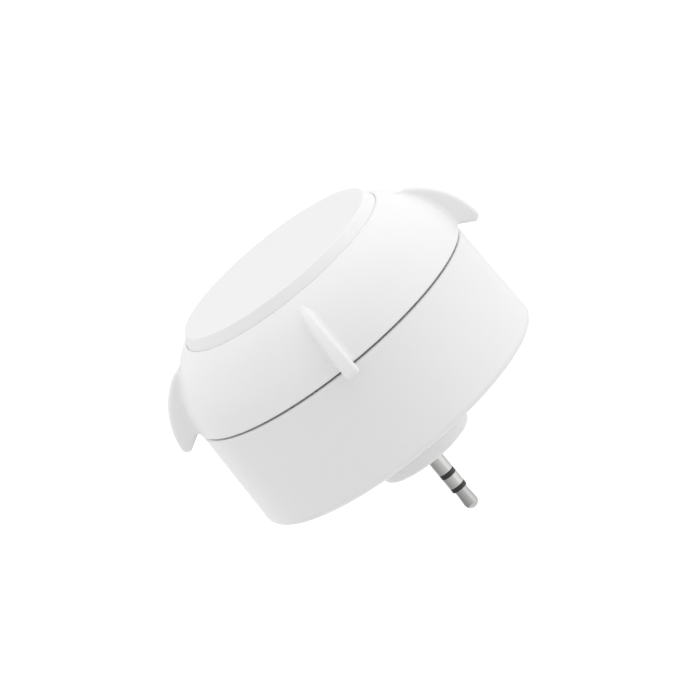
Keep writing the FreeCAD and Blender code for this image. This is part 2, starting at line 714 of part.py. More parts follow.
def wing_edges(shape):
    """Names of the edges of both flanks, apart from the sloping one that ends up inside the cover."""
    flanks = [face for face in shape.Faces if abs(face.normalAt(0, 0).y) > NEARLY_ONE]
    heel = value(WING_HEEL_R)
    names = []
    for number, edge in enumerate(shape.Edges, start=1):
        near_axis = all(vertex.Point.x < heel + TOUCHING for vertex in edge.Vertexes)
        inside = near_axis and edge.BoundBox.ZLength > value("cover_rise") / 2
        if not inside and any(edge.isSame(other) for face in flanks for other in face.Edges):
            names.append(f"Edge{number}")
    return names


def root_edges(shape):
    """Names of the long edges where the flat flanks of the grips meet the dome."""
    curved = [face for face in shape.Faces if not isinstance(face.Surface, Part.Plane)]
    dome = max(curved, key=lambda face: face.Area)
    flanks = [face for face in shape.Faces if isinstance(face.Surface, Part.Plane)]
    names = []
    for number, edge in enumerate(shape.Edges, start=1):
        on_dome = any(edge.isSame(other) for other in dome.Edges)
        on_flank = any(edge.isSame(other) for face in flanks for other in face.Edges)
        if on_dome and on_flank and edge.BoundBox.ZLength > value("cover_rise") / 2:
            names.append(f"Edge{number}")
    return names


def lens():
    """Flat matte disc with a tapered edge, Fresnel zones inside and a flange below."""
    body = new_body("lens")
    under = f"({LENS_TOP} - lens_thick)"
    inner_r = "lens_r - lens_wall"
    lean = "(lens_r - lens_top_r)"
    slope = f"sqrt({lean} * {lean} + lens_rise * lens_rise)"
    corner = f"(lens_round * ({slope} - {lean}) / lens_rise)"
    zones = []
    for index in range(1, int(value("zone_count")) + 1):
        edge_r = f"{index} * zone_wide"
        zones += [(edge_r, f"{under} + zone_deep"), (edge_r, under)]
    revolved(
        body,
        [("0", under)]
        + zones
        + [
            ("lens_top_r - lens_wall", under),
            (inner_r, COVER_TOP),
            (inner_r, FLANGE_LOW),
            (LENS_FLANGE_R, FLANGE_LOW),
            (LENS_FLANGE_R, FLANGE_TOP),
            ("lens_r", FLANGE_TOP),
            ("lens_r", COVER_TOP),
            (f"lens_top_r + {corner} * {lean} / {slope}", f"{LENS_TOP} - {corner} * lens_rise / {slope}"),
            (f"lens_top_r - {corner}", LENS_TOP, "lens_round", "left"),
            ("0", LENS_TOP),
        ],
    )
    return node(body, "lens")


def lens_seal():
    """Flat gasket between the lens flange and the cover's lip."""
    body = new_body("lens_seal")
    revolved(
        body,
        [
            (LENS_OPENING, FLANGE_TOP),
            (LENS_FLANGE_R, FLANGE_TOP),
            (LENS_FLANGE_R, LENS_SEAT),
            (LENS_OPENING, LENS_SEAT),
        ],
    )
    return node(body, "lens_seal")


def lens_ring():
    """Ring under the lens flange. Its bead snaps into the cover."""
    body = new_body("lens_ring")
    low = f"({FLANGE_LOW} - ring_tall)"
    outer_r = f"({HOLD_R} - lens_play)"
    bead_low = f"({low} + bead_rise)"
    revolved(
        body,
        [
            ("lens_r - lens_wall", low),
            (outer_r, low),
            (outer_r, bead_low),
            (f"{outer_r} + bead_wide", f"{bead_low} + bead_tall / 2"),
            (outer_r, f"{bead_low} + bead_tall"),
            (outer_r, FLANGE_LOW),
            ("lens_r - lens_wall", FLANGE_LOW),
        ],
    )
    return node(body, "lens_ring")


def seals():
    """Ring seal on the spigot under the cover, and ring seal round the plug carrier."""
    cover_seal_r = f"{SPIGOT_R} - seal_sink + seal_wire / 2 + layer_play"
    cover_seal_z = f"{RIM} + seal_rise + (seal_wire + seal_slack) / 2"
    node(wire_ring("cover_seal", cover_seal_r, "seal_wire", cover_seal_z), "cover_seal")
    neck_seal_r = f"{NECK_BORE} - carrier_play - neck_seal_sink + neck_seal_wire / 2 + layer_play"
    neck_seal_z = f"{NECK_FLOOR} + neck_seal_rise + (neck_seal_wire + seal_slack) / 2"
    node(wire_ring("neck_seal", neck_seal_r, "neck_seal_wire", neck_seal_z), "neck_seal")


def main_board():
    """Round board on the four tall bosses."""
    disc = rod("board_disc", "board_r", "board_thick", z="board_z")
    holes = [
        rod(f"board_hole_{index}", SCREW_HOLE_R, "board_thick", x, y, "board_z")
        for index, (x, y) in enumerate(screw_places(), start=1)
    ]
    return node(cut_from("main_board", disc, holes), "main_board")


def settings_deck():
    """Plate over the board with posts for the screws, a tube round the sensor and its windows."""
    body = new_body("settings_deck")
    plate = circles(new_sketch(body, level="deck_z"), f"({SPIGOT_BORE} - deck_play)", [("0", "0")])
    raised(body, plate, "deck_thick")
    posts = circles(new_sketch(body, level=BOARD_TOP), "post_r", screw_places())
    raised(body, posts, f"deck_z - {BOARD_TOP}")
    shade_low = f"({BOARD_TOP} + shade_low)"
    shade = circles(new_sketch(body, level=shade_low), "shade_r", [("0", "0")])
    raised(body, shade, f"{DECK_TOP} + shade_rise - {shade_low}")
    cut_through(body, circles(new_sketch(body), "shade_r - shade_wall", [("0", "0")]))
    cut_through(body, circles(new_sketch(body), SCREW_HOLE_R, screw_places()))
    window = new_sketch(body)
    rectangle(window, "(dip_wide + 2 * window_play)", f"({DIP_LEN} + 2 * window_play)", "-dip_x")
    cut_through(body, window)
    receiver = new_sketch(body)
    rectangle(
        receiver, "(remote_len + 2 * window_play)", "(remote_wide + 2 * window_play)", "0", "-remote_y"
    )
    cut_through(body, receiver)
    cut_through(body, circles(new_sketch(body), "(pipe_r + pipe_play)", [("light_x", "light_y")]))
    cut_through(body, circles(new_sketch(body), "eye_hole_r", [("light_x", "-light_y")]))
    return node(body, "settings_deck")


def screw(name, length, x, y, z):
    """One pan-head screw with a cross recess. Its head rests at z and its shank points down."""
    body = new_body(name)
    dome = "screw_head_tall / 2"
    revolved(
        body,
        [
            ("0", f"-({length})"),
            ("screw_r", f"-({length}) + screw_r"),
            ("screw_r", "0"),
            ("screw_head_r", "0"),
            ("screw_head_r", dome),
            ("cross_len / 2", "screw_head_tall", "screw_head_r", "left"),
            ("0", "screw_head_tall"),
        ],
    )
    for length_x, length_y in (("cross_len", "cross_wide"), ("cross_wide", "cross_len")):
        recess = new_sketch(body, level="screw_head_tall - cross_deep")
        sunk(body, rectangle(recess, length_x, length_y), "cross_deep")
    return place(body, x, y, z)


def screws():
    """The deck's long screws and the carrier's short ones, one node for each set."""
    deck = [
        screw(f"deck_screw_{index}", "deck_screw_len", x, y, DECK_TOP)
        for index, (x, y) in enumerate(screw_places(), start=1)
    ]
    node(grouped("deck_screws", deck), "deck_screws")
    carrier = [
        screw(f"carrier_screw_{index}", "carrier_screw_len", x, y, "carrier_seat_z + carrier_plate")
        for index, (x, y) in enumerate(carrier_screw_places(), start=1)
    ]
    node(grouped("carrier_screws", carrier), "carrier_screws")


def pyro_sensor():
    """Metal can in the middle of the board, with a dark window in its top."""
    body = new_body("pyro_sensor")
    top = f"({BOARD_TOP} + can_tall)"
    revolved(
        body,
        [
            ("0", BOARD_TOP),
            ("can_flange_r", BOARD_TOP),
            ("can_flange_r", f"{BOARD_TOP} + can_flange_tall"),
            ("can_r", f"{BOARD_TOP} + can_flange_tall"),
            ("can_r", f"{top} - can_round"),
            ("can_r - can_round", top, "can_round", "left"),
            ("0", top),
        ],
    )
    recess = new_sketch(body, level=f"{top} - filter_thick")
    sunk(body, rectangle(recess, "filter_len", "filter_wide"), "filter_thick")
    node(body, "pyro_sensor")
    window = block("pyro_window", "filter_len", "filter_wide", "filter_thick", z=f"{top} - filter_thick")
    node(window, "pyro_window")


def light_parts():
    """Indicator with its light pipe, and the daylight sensor beside it."""
    led = block("status_led", "led_len", "led_wide", "led_tall", "light_x", "light_y", BOARD_TOP)
    node(led, "status_led")
    pipe = new_body("light_pipe")
    nose_top = f"({DECK_TOP} + pipe_flange_tall + pipe_nose)"
    nose_curve = "((pipe_r * pipe_r + pipe_nose * pipe_nose) / (2 * pipe_nose))"
    revolved(
        pipe,
        [
            ("0", f"{BOARD_TOP} + led_tall + pipe_gap"),
            ("pipe_r", f"{BOARD_TOP} + led_tall + pipe_gap"),
            ("pipe_r", DECK_TOP),
            ("pipe_flange_r", DECK_TOP),
            ("pipe_flange_r", f"{DECK_TOP} + pipe_flange_tall"),
            ("pipe_r", f"{DECK_TOP} + pipe_flange_tall"),
            ("0", nose_top, nose_curve, "left"),
        ],
    )
    node(place(pipe, "light_x", "light_y"), "light_pipe")
    case = block("eye_case", "eye_len", "eye_wide", "eye_tall", "light_x", "-light_y", BOARD_TOP)
    dome = ball("eye_dome", "eye_r", "light_x", "-light_y", f"{BOARD_TOP} + eye_tall")
    under_low = f"{BOARD_TOP} - 2 * eye_r"
    under = block("eye_under", "eye_len", "eye_wide", "2 * eye_r", "light_x", "-light_y", under_low)
    node(cut_from("daylight_sensor", fused("eye_solid", [case, dome]), [under]), "daylight_sensor")


def remote_receiver():
    """Receiver for the remote control: a moulded block with a dome."""
    case = block("remote_case", "remote_len", "remote_wide", "remote_tall", "0", "-remote_y", BOARD_TOP)
    dome = ball("remote_dome", "remote_dome_r", "0", "-remote_y", f"{BOARD_TOP} + remote_tall")
    return node(fused("remote_receiver", [case, dome]), "remote_receiver")


def controller_chip():
    """Square chip with a row of legs on each side."""
    parts = [block("chip_case", "chip_side", "chip_side", "chip_tall", "0", "chip_y", BOARD_TOP)]
    out = "(chip_side / 2 + chip_leg_len / 2)"
    for index in range(int(value("chip_legs"))):
        along = f"(({index} - (chip_legs - 1) / 2) * chip_leg_pitch)"
        for side in ("", "-"):
            name = f"chip_leg_{index}_{'a' if side else 'b'}"
            sizes = ("chip_leg_len", "chip_leg_wide", "chip_leg_tall")
            parts.append(block(name + "x", *sizes, f"{side}{out}", f"(chip_y + {along})", BOARD_TOP))
            sizes = ("chip_leg_wide", "chip_leg_len", "chip_leg_tall")
            parts.append(block(name + "y", *sizes, along, f"(chip_y + {side}{out})", BOARD_TOP))
    return node(fused("controller_chip", parts), "controller_chip")


def small_parts():
    """Voltage regulator, small chips round the sensor, and the tall parts under the board."""
    case = block("reg_case", "reg_len", "reg_wide", "reg_tall", "-reg_x", "reg_y", BOARD_TOP)
    tab_y = "(reg_y + reg_wide / 2 + chip_leg_len / 2)"
    tab = block("reg_tab", "reg_len / 2", "chip_leg_len", "chip_leg_tall", "-reg_x", tab_y, BOARD_TOP)
    leg_y = "(reg_y - reg_wide / 2 - chip_leg_len / 2)"
    leg_sizes = ("chip_leg_wide", "chip_leg_len", "chip_leg_tall")
    legs = [
        block(f"reg_leg_{index}", *leg_sizes, f"(-reg_x + ({index} - 1) * reg_len / 3)", leg_y, BOARD_TOP)
        for index in range(3)
    ]
    node(fused("voltage_regulator", [case, tab, *legs]), "voltage_regulator")
    chips = []
    for index in range(int(value("small_count"))):
        angle = f"({index} * 360 / small_count)"
        x, y = f"(small_ring_r * cos({angle}))", f"(small_ring_r * sin({angle}))"
        chips.append(block(f"small_chip_{index}", "small_wide", "small_len", "small_tall", x, y, BOARD_TOP))
    node(grouped("chip_parts", chips), "chip_parts")
    capacitor = new_body("supply_capacitor")
    revolved(
        capacitor,
        [
            ("0", "-cap_tall"),
            ("cap_r - cap_round", "-cap_tall"),
            ("cap_r", "cap_round - cap_tall", "cap_round", "left"),
            ("cap_r", "-cap_tall / 4"),
            ("cap_r - cap_crimp", "-cap_tall / 4 + cap_crimp"),
            ("cap_r", "-cap_tall / 4 + 2 * cap_crimp"),
            ("cap_r", "0"),
            ("0", "0"),
        ],
    )
    node(place(capacitor, "-cap_x", "-cap_y", "board_z"), "supply_capacitor")
    low = "(board_z - coil_tall)"
    core = block("coil_case", "coil_side", "coil_side", "coil_tall", "coil_x", "-coil_y", low)
    space = rod("coil_space", "coil_ring_r", "coil_ring_deep", "coil_x", "-coil_y", low)
    middle = rod("coil_core", "coil_core_r", "coil_ring_deep", "coil_x", "-coil_y", low)
    node(fused("inductor", [cut_from("coil_shell", core, [space]), middle]), "inductor")


def dip_switch():
    """Switch block with one slot for each slider, and legs on both long sides."""
    top = f"({BOARD_TOP} + dip_tall)"
    case = block("dip_case", "dip_wide", DIP_LEN, "dip_tall", "-dip_x", "0", BOARD_TOP)
    slots = []
    legs = []
    slot_wide = "(slider_wide + 2 * slider_play)"
    slot_deep = "(slider_sink + slider_play)"
    slot_low = f"({top} - {slot_deep})"
    for index in range(int(value("dip_count"))):
        y = slider_row(index)
        slots.append(block(f"dip_slot_{index}", SLOT_LEN, slot_wide, slot_deep, "-dip_x", y, slot_low))
        for side in ("+", "-"):
            x = f"(-dip_x {side} (dip_wide + dip_leg_len) / 2)"
            name = f"dip_leg_{index}_{'a' if side == '+' else 'b'}"
            legs.append(block(name, "dip_leg_len", "dip_leg_wide", "dip_leg_tall", x, y, BOARD_TOP))
    shell = cut_from("dip_shell", case, slots)
    node(fused("dip_switch", [shell, *legs]), "dip_switch")
    slider_sizes = ("slider_len", "slider_wide", "(slider_rise + slider_sink)")
    slider_x = f"(-dip_x - {SLOT_LEN} / 2 + slider_play + slider_len / 2)"
    slider_low = f"({top} - slider_sink)"
    for index in range(int(value("dip_count"))):
        name = f"dip_slider_{index + 1}"
        node(block(name, *slider_sizes, slider_x, slider_row(index), slider_low), name)


def slider_row(index):
    return f"(({index} - (dip_count - 1) / 2) * dip_pitch)"


def connector():
    """Header under the board, and the lead's plug in its mouth."""
    low = "(board_z - header_tall)"
    inlet_tall = "(header_tall - 2 * header_wall)"
    inlet_len = "(header_len - 2 * header_wall)"
    inlet_deep = "(header_wide - header_wall)"
    case = block("header_case", "header_len", "header_wide", "header_tall", "0", "header_y", low)
    mouth_y = f"({HEADER_FRONT} + {inlet_deep} / 2)"
    mouth_low = f"({low} + header_wall)"
    mouth = block("header_mouth", inlet_len, inlet_deep, inlet_tall, "0", mouth_y, mouth_low)
    node(cut_from("board_connector", case, [mouth]), "board_connector")
    lead_plug_len = f"({inlet_deep} + inlet_stand - inlet_play)"
    lead_plug_sizes = (f"({inlet_len} - 2 * inlet_play)", lead_plug_len, f"({inlet_tall} - 2 * inlet_play)")
    lead_plug_y = f"({HEADER_FRONT} - inlet_stand + {lead_plug_len} / 2)"
    plug = block("lead_plug", *lead_plug_sizes, "0", lead_plug_y, f"({mouth_low} + inlet_play)")
    node(plug, "lead_plug")


def lead(name, x, start):
    """One lead: up from its contact, one bend, and level into the lead's plug."""
    body = new_body(name)
    end_y = f"({HEADER_FRONT} - inlet_stand)"
    path = new_sketch(body, "YZ_Plane", x)
    bend = ("0", f"{LEAD_LEVEL} - lead_bend")
    level = ("lead_bend", LEAD_LEVEL)
    lines = [(("0", start), bend), (level, (end_y, LEAD_LEVEL))]
    edges = []
    for first, last in lines:
        points = [Vector(value(point[0]), value(point[1]), 0) for point in (first, last)]
        edges.append(path.addGeometry(Part.LineSegment(*points)))
    ends = [Vector(value(point[0]), value(point[1]), 0) for point in (bend, level)]
    arc = path.addGeometry(arc_between(ends[0], ends[1], value("lead_bend"), "right"))
    path.addConstraint(Sketcher.Constraint("Coincident", edges[0], 2, arc, 2))
    path.addConstraint(Sketcher.Constraint("Coincident", arc, 1, edges[1], 1))
    fix_point(path, edges[0], 1, "0", start)
    fix_point(path, edges[0], 2, *bend)
    fix_point(path, edges[1], 1, *level)
    fix_point(path, edges[1], 2, end_y, LEAD_LEVEL)
    fix_radius(path, arc, "lead_bend")
    section = circles(new_sketch(body, level=start), "lead_r", [(x, "0")])
    pipe = body.newObject("PartDesign::AdditivePipe", name + "_pipe")
    pipe.Profile = section
    pipe.Spine = path
    return node(body, name)


def leads():
    lead("ground_lead", "-lead_pitch", BARREL_TOP)
    lead("supply_lead", "0", f"({TIP_TAB} + tab_thick)")
    lead("dimming_lead", "lead_pitch", f"({POLE_TAB} + tab_thick)")


def plug_carrier():
    """Moulded holder in the neck. It clamps the plug's foot and takes two screws in its ears."""
    body = new_body("plug_carrier")
    outer_r = f"({NECK_BORE} - carrier_play)"
    plate_top = "(carrier_seat_z + carrier_plate)"
    seal_low = f"({NECK_FLOOR} + neck_seal_rise)"
    seal_high = f"({seal_low} + neck_seal_wire + seal_slack)"
    revolved(
        body,
        [
            ("0", NECK_FLOOR),
            (outer_r, NECK_FLOOR),
            (outer_r, seal_low),
            (f"{outer_r} - neck_seal_sink", seal_low),
            (f"{outer_r} - neck_seal_sink", seal_high),
            (outer_r, seal_high),
            (outer_r, "carrier_seat_z"),
            ("carrier_plate_r", "carrier_seat_z"),
            ("carrier_plate_r", plate_top),
            ("0", plate_top),
        ],
    )
    bar = new_sketch(body, level="carrier_seat_z")
    rectangle(bar, "(2 * carrier_screw_x)", "(2 * carrier_ear_r)")
    raised(body, bar, "carrier_plate")
    ears = circles(new_sketch(body, level="carrier_seat_z"), "carrier_ear_r", carrier_screw_places())
    raised(body, ears, "carrier_plate")
    foot_r = "(foot_r + carrier_hole_play)"
    hole_r = "(barrel_r + carrier_hole_play)"
    foot_top = f"({NECK_FLOOR} + foot_tall)"
    well_low = f"({BARREL_TOP} + carrier_well_low)"
    revolved(
        body,
        [
            ("0", f"{NECK_FLOOR} - cut_past"),
            (foot_r, f"{NECK_FLOOR} - cut_past"),
            (foot_r, foot_top),
            (hole_r, foot_top),
            (hole_r, well_low),
            ("carrier_well_r", well_low),
            ("carrier_well_r", f"{plate_top} + cut_past"),
            ("0", f"{plate_top} + cut_past"),
        ],
        cut=True,
    )
    cut_through(body, circles(new_sketch(body), SCREW_HOLE_R, carrier_screw_places()))
    return node(body, "plug_carrier")


def tube(name, inner, low, high, outer, shoulder, rise, edge=None):
    """A wide piece between two levels with a thin tube above it, round a free bore. With an edge
    given, the wide piece's outer corners are bevelled by that much."""
    body = new_body(name)
    wide = [(outer, low), (outer, high)]
    if edge:
        wide = [
            (f"{outer} - {edge}", low),
            (outer, f"{low} + {edge}"),
            (outer, f"{high} - {edge}"),
            (f"{outer} - {edge}", high),
        ]
    revolved(body, [(inner, low), *wide, (shoulder, high), (shoulder, rise), (inner, rise)])
    return body


def jack_plug():
    """Tip, ring and sleeve contacts with black bands between them, all round one rod."""
    rod_out = "rod_r"
    first_out = "(rod_r + layer_play + layer)"
    second_out = "(rod_r + 2 * layer_play + 2 * layer)"
    third_out = "(rod_r + 3 * layer_play + 3 * layer)"
    tip = new_body("plug_tip")
    revolved(
        tip,
        [
            ("0", TIP_END),
            ("tip_end_r", TIP_END),
            ("tip_bulge_r", f"{TIP_TOP} - tip_bulge_len", "tip_curve", "left"),
            ("tip_neck_r", f"{TIP_TOP} - tip_neck_len"),
            ("tip_neck_r", TIP_TOP),
            (rod_out, TIP_TOP),
            (rod_out, TIP_TAB),
            ("2 * rod_r", TIP_TAB),
            ("2 * rod_r", f"{TIP_TAB} + tab_thick"),
            ("0", f"{TIP_TAB} + tab_thick"),
        ],
    )
    node(tip, "plug_tip")
    band_bore = f"{rod_out} + layer_play"
    band = tube("tip_insulator", band_bore, TIP_TOP, POLE_LOW, "plug_r", first_out, TIP_TAB)
    node(band, "tip_insulator")
    pole_rise = f"({POLE_TAB} + tab_thick)"
    pole_bore = f"{first_out} + layer_play"
    pole = tube("plug_ring", pole_bore, POLE_LOW, POLE_TOP, "plug_r", second_out, pole_rise, "contact_edge")
    tab = new_sketch(pole, level=POLE_TAB)
    tab_start = f"({first_out} + layer_play + layer / 2)"
    rectangle(tab, f"(tab_len - {tab_start})", "tab_wide", f"((tab_len + {tab_start}) / 2)")
    raised(pole, tab, "tab_thick")
    node(pole, "plug_ring")
    band_bore = f"{second_out} + layer_play"
    band = tube("ring_insulator", band_bore, POLE_TOP, SLEEVE_LOW, "plug_r", third_out, POLE_TAB)
    node(band, "ring_insulator")
    sleeve = new_body("plug_sleeve")
    bore = f"({third_out} + layer_play)"
    revolved(
        sleeve,
        [
            (bore, SLEEVE_LOW),
            ("plug_r - contact_edge", SLEEVE_LOW),
            ("plug_r", f"{SLEEVE_LOW} + contact_edge"),
            ("plug_r", COLLAR_LOW),
            ("collar_r - collar_edge", COLLAR_LOW),
            ("collar_r", f"{COLLAR_LOW} + collar_edge"),
            ("collar_r", NECK_FLOOR),
            ("foot_r", NECK_FLOOR),
            ("foot_r", f"{NECK_FLOOR} + foot_tall"),
            ("barrel_r", f"{NECK_FLOOR} + foot_tall"),
            ("barrel_r", BARREL_TOP),
            (bore, BARREL_TOP),
        ],
    )
    node(sleeve, "plug_sleeve")


def check_document():
    """Stop if an object failed, if a cut took nothing away or if a sub-part has no valid shape."""
    for thing in doc.Objects:
        if {"Invalid", "Error"} & set(thing.State):
            sys.exit(f"{thing.Label} failed: {thing.State}")
        if thing.TypeId in ("PartDesign::Pocket", "PartDesign::Groove"):
            before = thing.BaseFeature.Shape.Volume
            if thing.Shape.Volume > before - NO_VOLUME:
                sys.exit(f"{thing.Label} cuts nothing")
    for thing in nodes:
        if thing.Shape.isNull() or not thing.Shape.isValid() or not thing.Shape.Solids:
            sys.exit(f"{thing.Label} has no valid solid")


def write_parts():
    os.makedirs("parts", exist_ok=True)
    for thing in nodes:
        thing.Shape.exportStep(f"parts/{thing.Label}.step")
        solids = len(thing.Shape.Solids)
        print(f"{thing.Label}: {solids} solid(s), {thing.Shape.Volume:.2f} cubic mm")


fill_sheet()
housing()
twist_cover()
lens()
lens_seal()
lens_ring()
seals()
main_board()
settings_deck()
screws()
pyro_sensor()
light_parts()
remote_receiver()
controller_chip()
small_parts()
dip_switch()
connector()
leads()
plug_carrier()
jack_plug()
doc.recompute()
check_document()
write_parts()
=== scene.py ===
"""Finishes, small details and studio for a plug-in high bay motion sensor.

The frame gives every part at its real size and place. This file gives each part its material, adds the
small pieces that the frame leaves out, and sets up the floor, the light and the camera.
"""

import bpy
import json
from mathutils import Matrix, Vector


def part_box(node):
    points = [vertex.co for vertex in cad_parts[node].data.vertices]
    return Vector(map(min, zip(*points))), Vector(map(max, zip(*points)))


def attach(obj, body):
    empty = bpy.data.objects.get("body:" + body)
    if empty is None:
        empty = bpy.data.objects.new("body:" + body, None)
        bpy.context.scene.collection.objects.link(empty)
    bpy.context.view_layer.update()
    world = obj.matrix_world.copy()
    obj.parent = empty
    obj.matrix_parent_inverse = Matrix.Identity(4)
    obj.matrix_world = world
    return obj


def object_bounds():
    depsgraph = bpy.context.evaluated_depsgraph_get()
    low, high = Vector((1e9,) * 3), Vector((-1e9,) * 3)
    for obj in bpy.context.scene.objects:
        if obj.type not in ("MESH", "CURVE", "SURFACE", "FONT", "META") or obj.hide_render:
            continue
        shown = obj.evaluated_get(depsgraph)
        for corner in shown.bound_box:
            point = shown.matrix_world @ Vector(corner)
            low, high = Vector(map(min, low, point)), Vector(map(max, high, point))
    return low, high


bl_info = {
    "name": "High Bay Motion Sensor",
    "version": (1, 0, 0),
    "blender": (4, 5, 0),
    "location": "3D View > Sidebar > Sensor",
    "description": "Materials, small pieces and a studio for a plug-in motion sensor",
    "category": "Object",
}

import json
import math

import bmesh
import bpy
from mathutils import Quaternion, Vector

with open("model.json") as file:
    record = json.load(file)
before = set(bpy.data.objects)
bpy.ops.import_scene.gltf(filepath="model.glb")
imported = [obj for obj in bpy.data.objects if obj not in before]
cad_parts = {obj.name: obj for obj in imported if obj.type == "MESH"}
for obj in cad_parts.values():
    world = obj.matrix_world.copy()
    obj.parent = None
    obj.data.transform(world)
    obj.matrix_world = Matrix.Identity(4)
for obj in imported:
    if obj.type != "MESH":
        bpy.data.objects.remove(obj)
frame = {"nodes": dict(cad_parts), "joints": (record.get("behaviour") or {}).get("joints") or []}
CAD_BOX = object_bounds()

MM = 0.001
MICRON = 0.001 * MM
# Points closer than this are the same point
TINY = 0.000001
WHITE = (1.0, 1.0, 1.0)
# Colour of plastic where an edge is worn
WORN = (0.9, 0.9, 0.9)
# Height of the seam under the cover, where the cover's joint is
SEAM = next(joint for joint in frame["joints"] if joint["name"] == "cover_twist")["pos_m"][2]
SEAM_MIDDLE = Vector((0.0, 0.0, SEAM))


# Properties that a user would change


def paint(name, description, default):
    """A colour property, as linear red, green and blue."""
    return bpy.props.FloatVectorProperty(
        name=name, description=description, subtype="COLOR", size=3, min=0.0, max=1.0, default=default
    )


def length(name, description, default):
    """A length property, in metres."""
    return bpy.props.FloatProperty(
        name=name, description=description, subtype="DISTANCE", unit="LENGTH", default=default
    )


def angle(name, description, default):
    """An angle property. Its default is given in degrees."""
    turn = math.radians(default)
    return bpy.props.FloatProperty(
        name=name, description=description, subtype="ANGLE", unit="ROTATION", default=turn
    )


def offset(name, description, default):
    """A step in space, in metres along X, Y and Z."""
    return bpy.props.FloatVectorProperty(
        name=name, description=description, subtype="TRANSLATION", unit="LENGTH", default=default
    )


def amount(name, description, default):
    """A plain number that isn't below 0."""
    return bpy.props.FloatProperty(name=name, description=description, min=0.0, default=default)


class SensorColours(bpy.types.PropertyGroup):
    """Base colours of the finishes."""

    shell: paint("Housing", "Moulded cup and neck", (0.84, 0.84, 0.84))
    cover: paint("Cover", "Domed cover with its grips", (0.87, 0.87, 0.87))
    lens: paint("Lens", "Matte polyethylene face over the open middle", (0.81, 0.81, 0.81))
    # The rim's colour is painted light: paler than the face, for light that reaches the rim through the
    # polyethylene from its white seat.
    lens_rim_painted_light: paint("Lens rim", "Solid rim of the lens, over its white seat", (0.855, 0.855, 0.855))
    seal: paint("Seals", "Grey silicone", (0.10, 0.10, 0.105))
    inner: paint("Inner mouldings", "Deck, ring, carrier and connectors", (0.78, 0.78, 0.76))
    board: paint("Board", "Solder mask", (0.02, 0.11, 0.05))
    laminate: paint("Board edge", "Bare glass-fibre laminate", (0.42, 0.36, 0.16))
    solder: paint("Solder", "Tinned legs, caps and joints", (0.62, 0.62, 0.63))
    steel: paint("Screws", "Zinc-plated steel", (0.60, 0.60, 0.60))
    can: paint("Sensor can", "Nickel-plated can", (0.66, 0.64, 0.60))
    plug: paint("Plug contacts", "Nickel-plated brass", (0.50, 0.50, 0.495))
    black: paint("Black mouldings", "Insulators and chips", (0.014, 0.014, 0.015))
    ferrite: paint("Inductor", "Pressed ferrite", (0.03, 0.03, 0.032))
    filter: paint("Filter", "Dark coated window of the sensor", (0.006, 0.006, 0.008))
    sheen: paint("Filter sheen", "Violet patches of the window's coating", (0.03, 0.012, 0.05))
    resin: paint("Clear resin", "Indicator, light pipe and daylight sensor", (0.86, 0.86, 0.80))
    phosphor: paint("Phosphor", "Middle of the indicator", (0.75, 0.62, 0.10))
    die: paint("Sensor chip", "Dark chip in the daylight sensor", (0.04, 0.035, 0.05))
    chip: paint("Small chips", "Sintered ceramic", (0.23, 0.16, 0.09))
    sleeve: paint("Capacitor", "Shrunk sleeve", (0.012, 0.012, 0.016))
    stripe: paint("Capacitor stripe", "Pale stripe down the sleeve", (0.55, 0.56, 0.58))
    switch: paint("Switch block", "Blue moulding", (0.01, 0.035, 0.22))
    slider: paint("Sliders", "White moulding", (0.82, 0.82, 0.82))
    ground: paint("Ground lead", "Black insulation", (0.012, 0.012, 0.012))
    supply: paint("Supply lead", "Red insulation", (0.36, 0.012, 0.01))
    dimming: paint("Dimming lead", "Violet insulation", (0.10, 0.03, 0.20))


class SensorStudio(bpy.types.PropertyGroup):
    """Camera, floor and light."""

    camera_distance: length("Camera distance", "From the camera to the seam", 1.134)
    camera_azimuth: angle("Camera azimuth", "Turn of the camera round the object", 3.0)
    camera_elevation: angle("Camera elevation", "Camera above the seam's plane", 13.95)
    camera_roll: angle("Camera roll", "Turn of the camera about its own view", -39.6)
    camera_right: length("Aim to the right", "The camera aims past the seam's middle by this", 0.0042)
    camera_down: length("Aim below", "The camera aims under the seam's middle by this", 0.0040)
    focal_length: amount("Focal length", "In millimetres on a 36 mm sensor", 288.9)
    floor_drop: length("Floor below", "Height of the object over the floor", 1.15)
    floor_size: length("Floor size", "Side of the floor", 30.0)
    floor_tone: amount("Floor tone", "Grey of the floor as light falls on it", 0.75)
    floor_lift: amount("Floor lift", "Light that the floor adds where it is seen", 0.45)
    sky: amount("Sky", "Strength of the light from all round", 0.775)
    sky_sides: amount("Sky at both sides", "How much the sky gains towards left and right", 0.46)
    sky_right: amount("Sky on the right", "How much the sky gains towards the right", 0.135)
    sky_rear: amount("Sky at the rear", "How much the sky gains towards the rear", 0.16)
    sky_top: amount("Sky overhead", "How much the sky gains overhead", 0.24)
    key_power: amount("Key power", "Power of the large soft lamp, in watts", 0.6)
    key_width: length("Key width", "Width of the lamp", 0.6)
    key_height: length("Key height", "Height of the lamp", 0.8)
    key_place: offset("Key place", "From the seam's middle to the lamp", (0.75, 0.10, 0.35))
    screen_radius: length("Screen radius", "Distance of the curved screen seen in gloss", 0.8)
    screen_low: length("Screen below", "Reach of the screen below the seam", 0.75)
    screen_high: length("Screen above", "Reach of the screen above the seam", 0.30)


# Shader nodes


def put(tree, kind, **settings):
    """Add one shader node and set its properties."""
    node = tree.nodes.new("ShaderNode" + kind)
    for name, setting in settings.items():
        setattr(node, name, setting)
    return node


def join(tree, source, target):
    """Link an output to an input."""
    tree.links.new(source, target)


def feed(tree, target, source):
    """Give a socket a link or a plain value."""
    if isinstance(source, bpy.types.NodeSocket):
        tree.links.new(source, target)
    else:
        target.default_value = source


def compute(tree, operation, first, second=0.0, clamp=False):
    """A maths node. Each input is a socket or a number."""
    node = put(tree, "Math", operation=operation, use_clamp=clamp)
    feed(tree, node.inputs[0], first)
    feed(tree, node.inputs[1], second)
    return node.outputs[0]


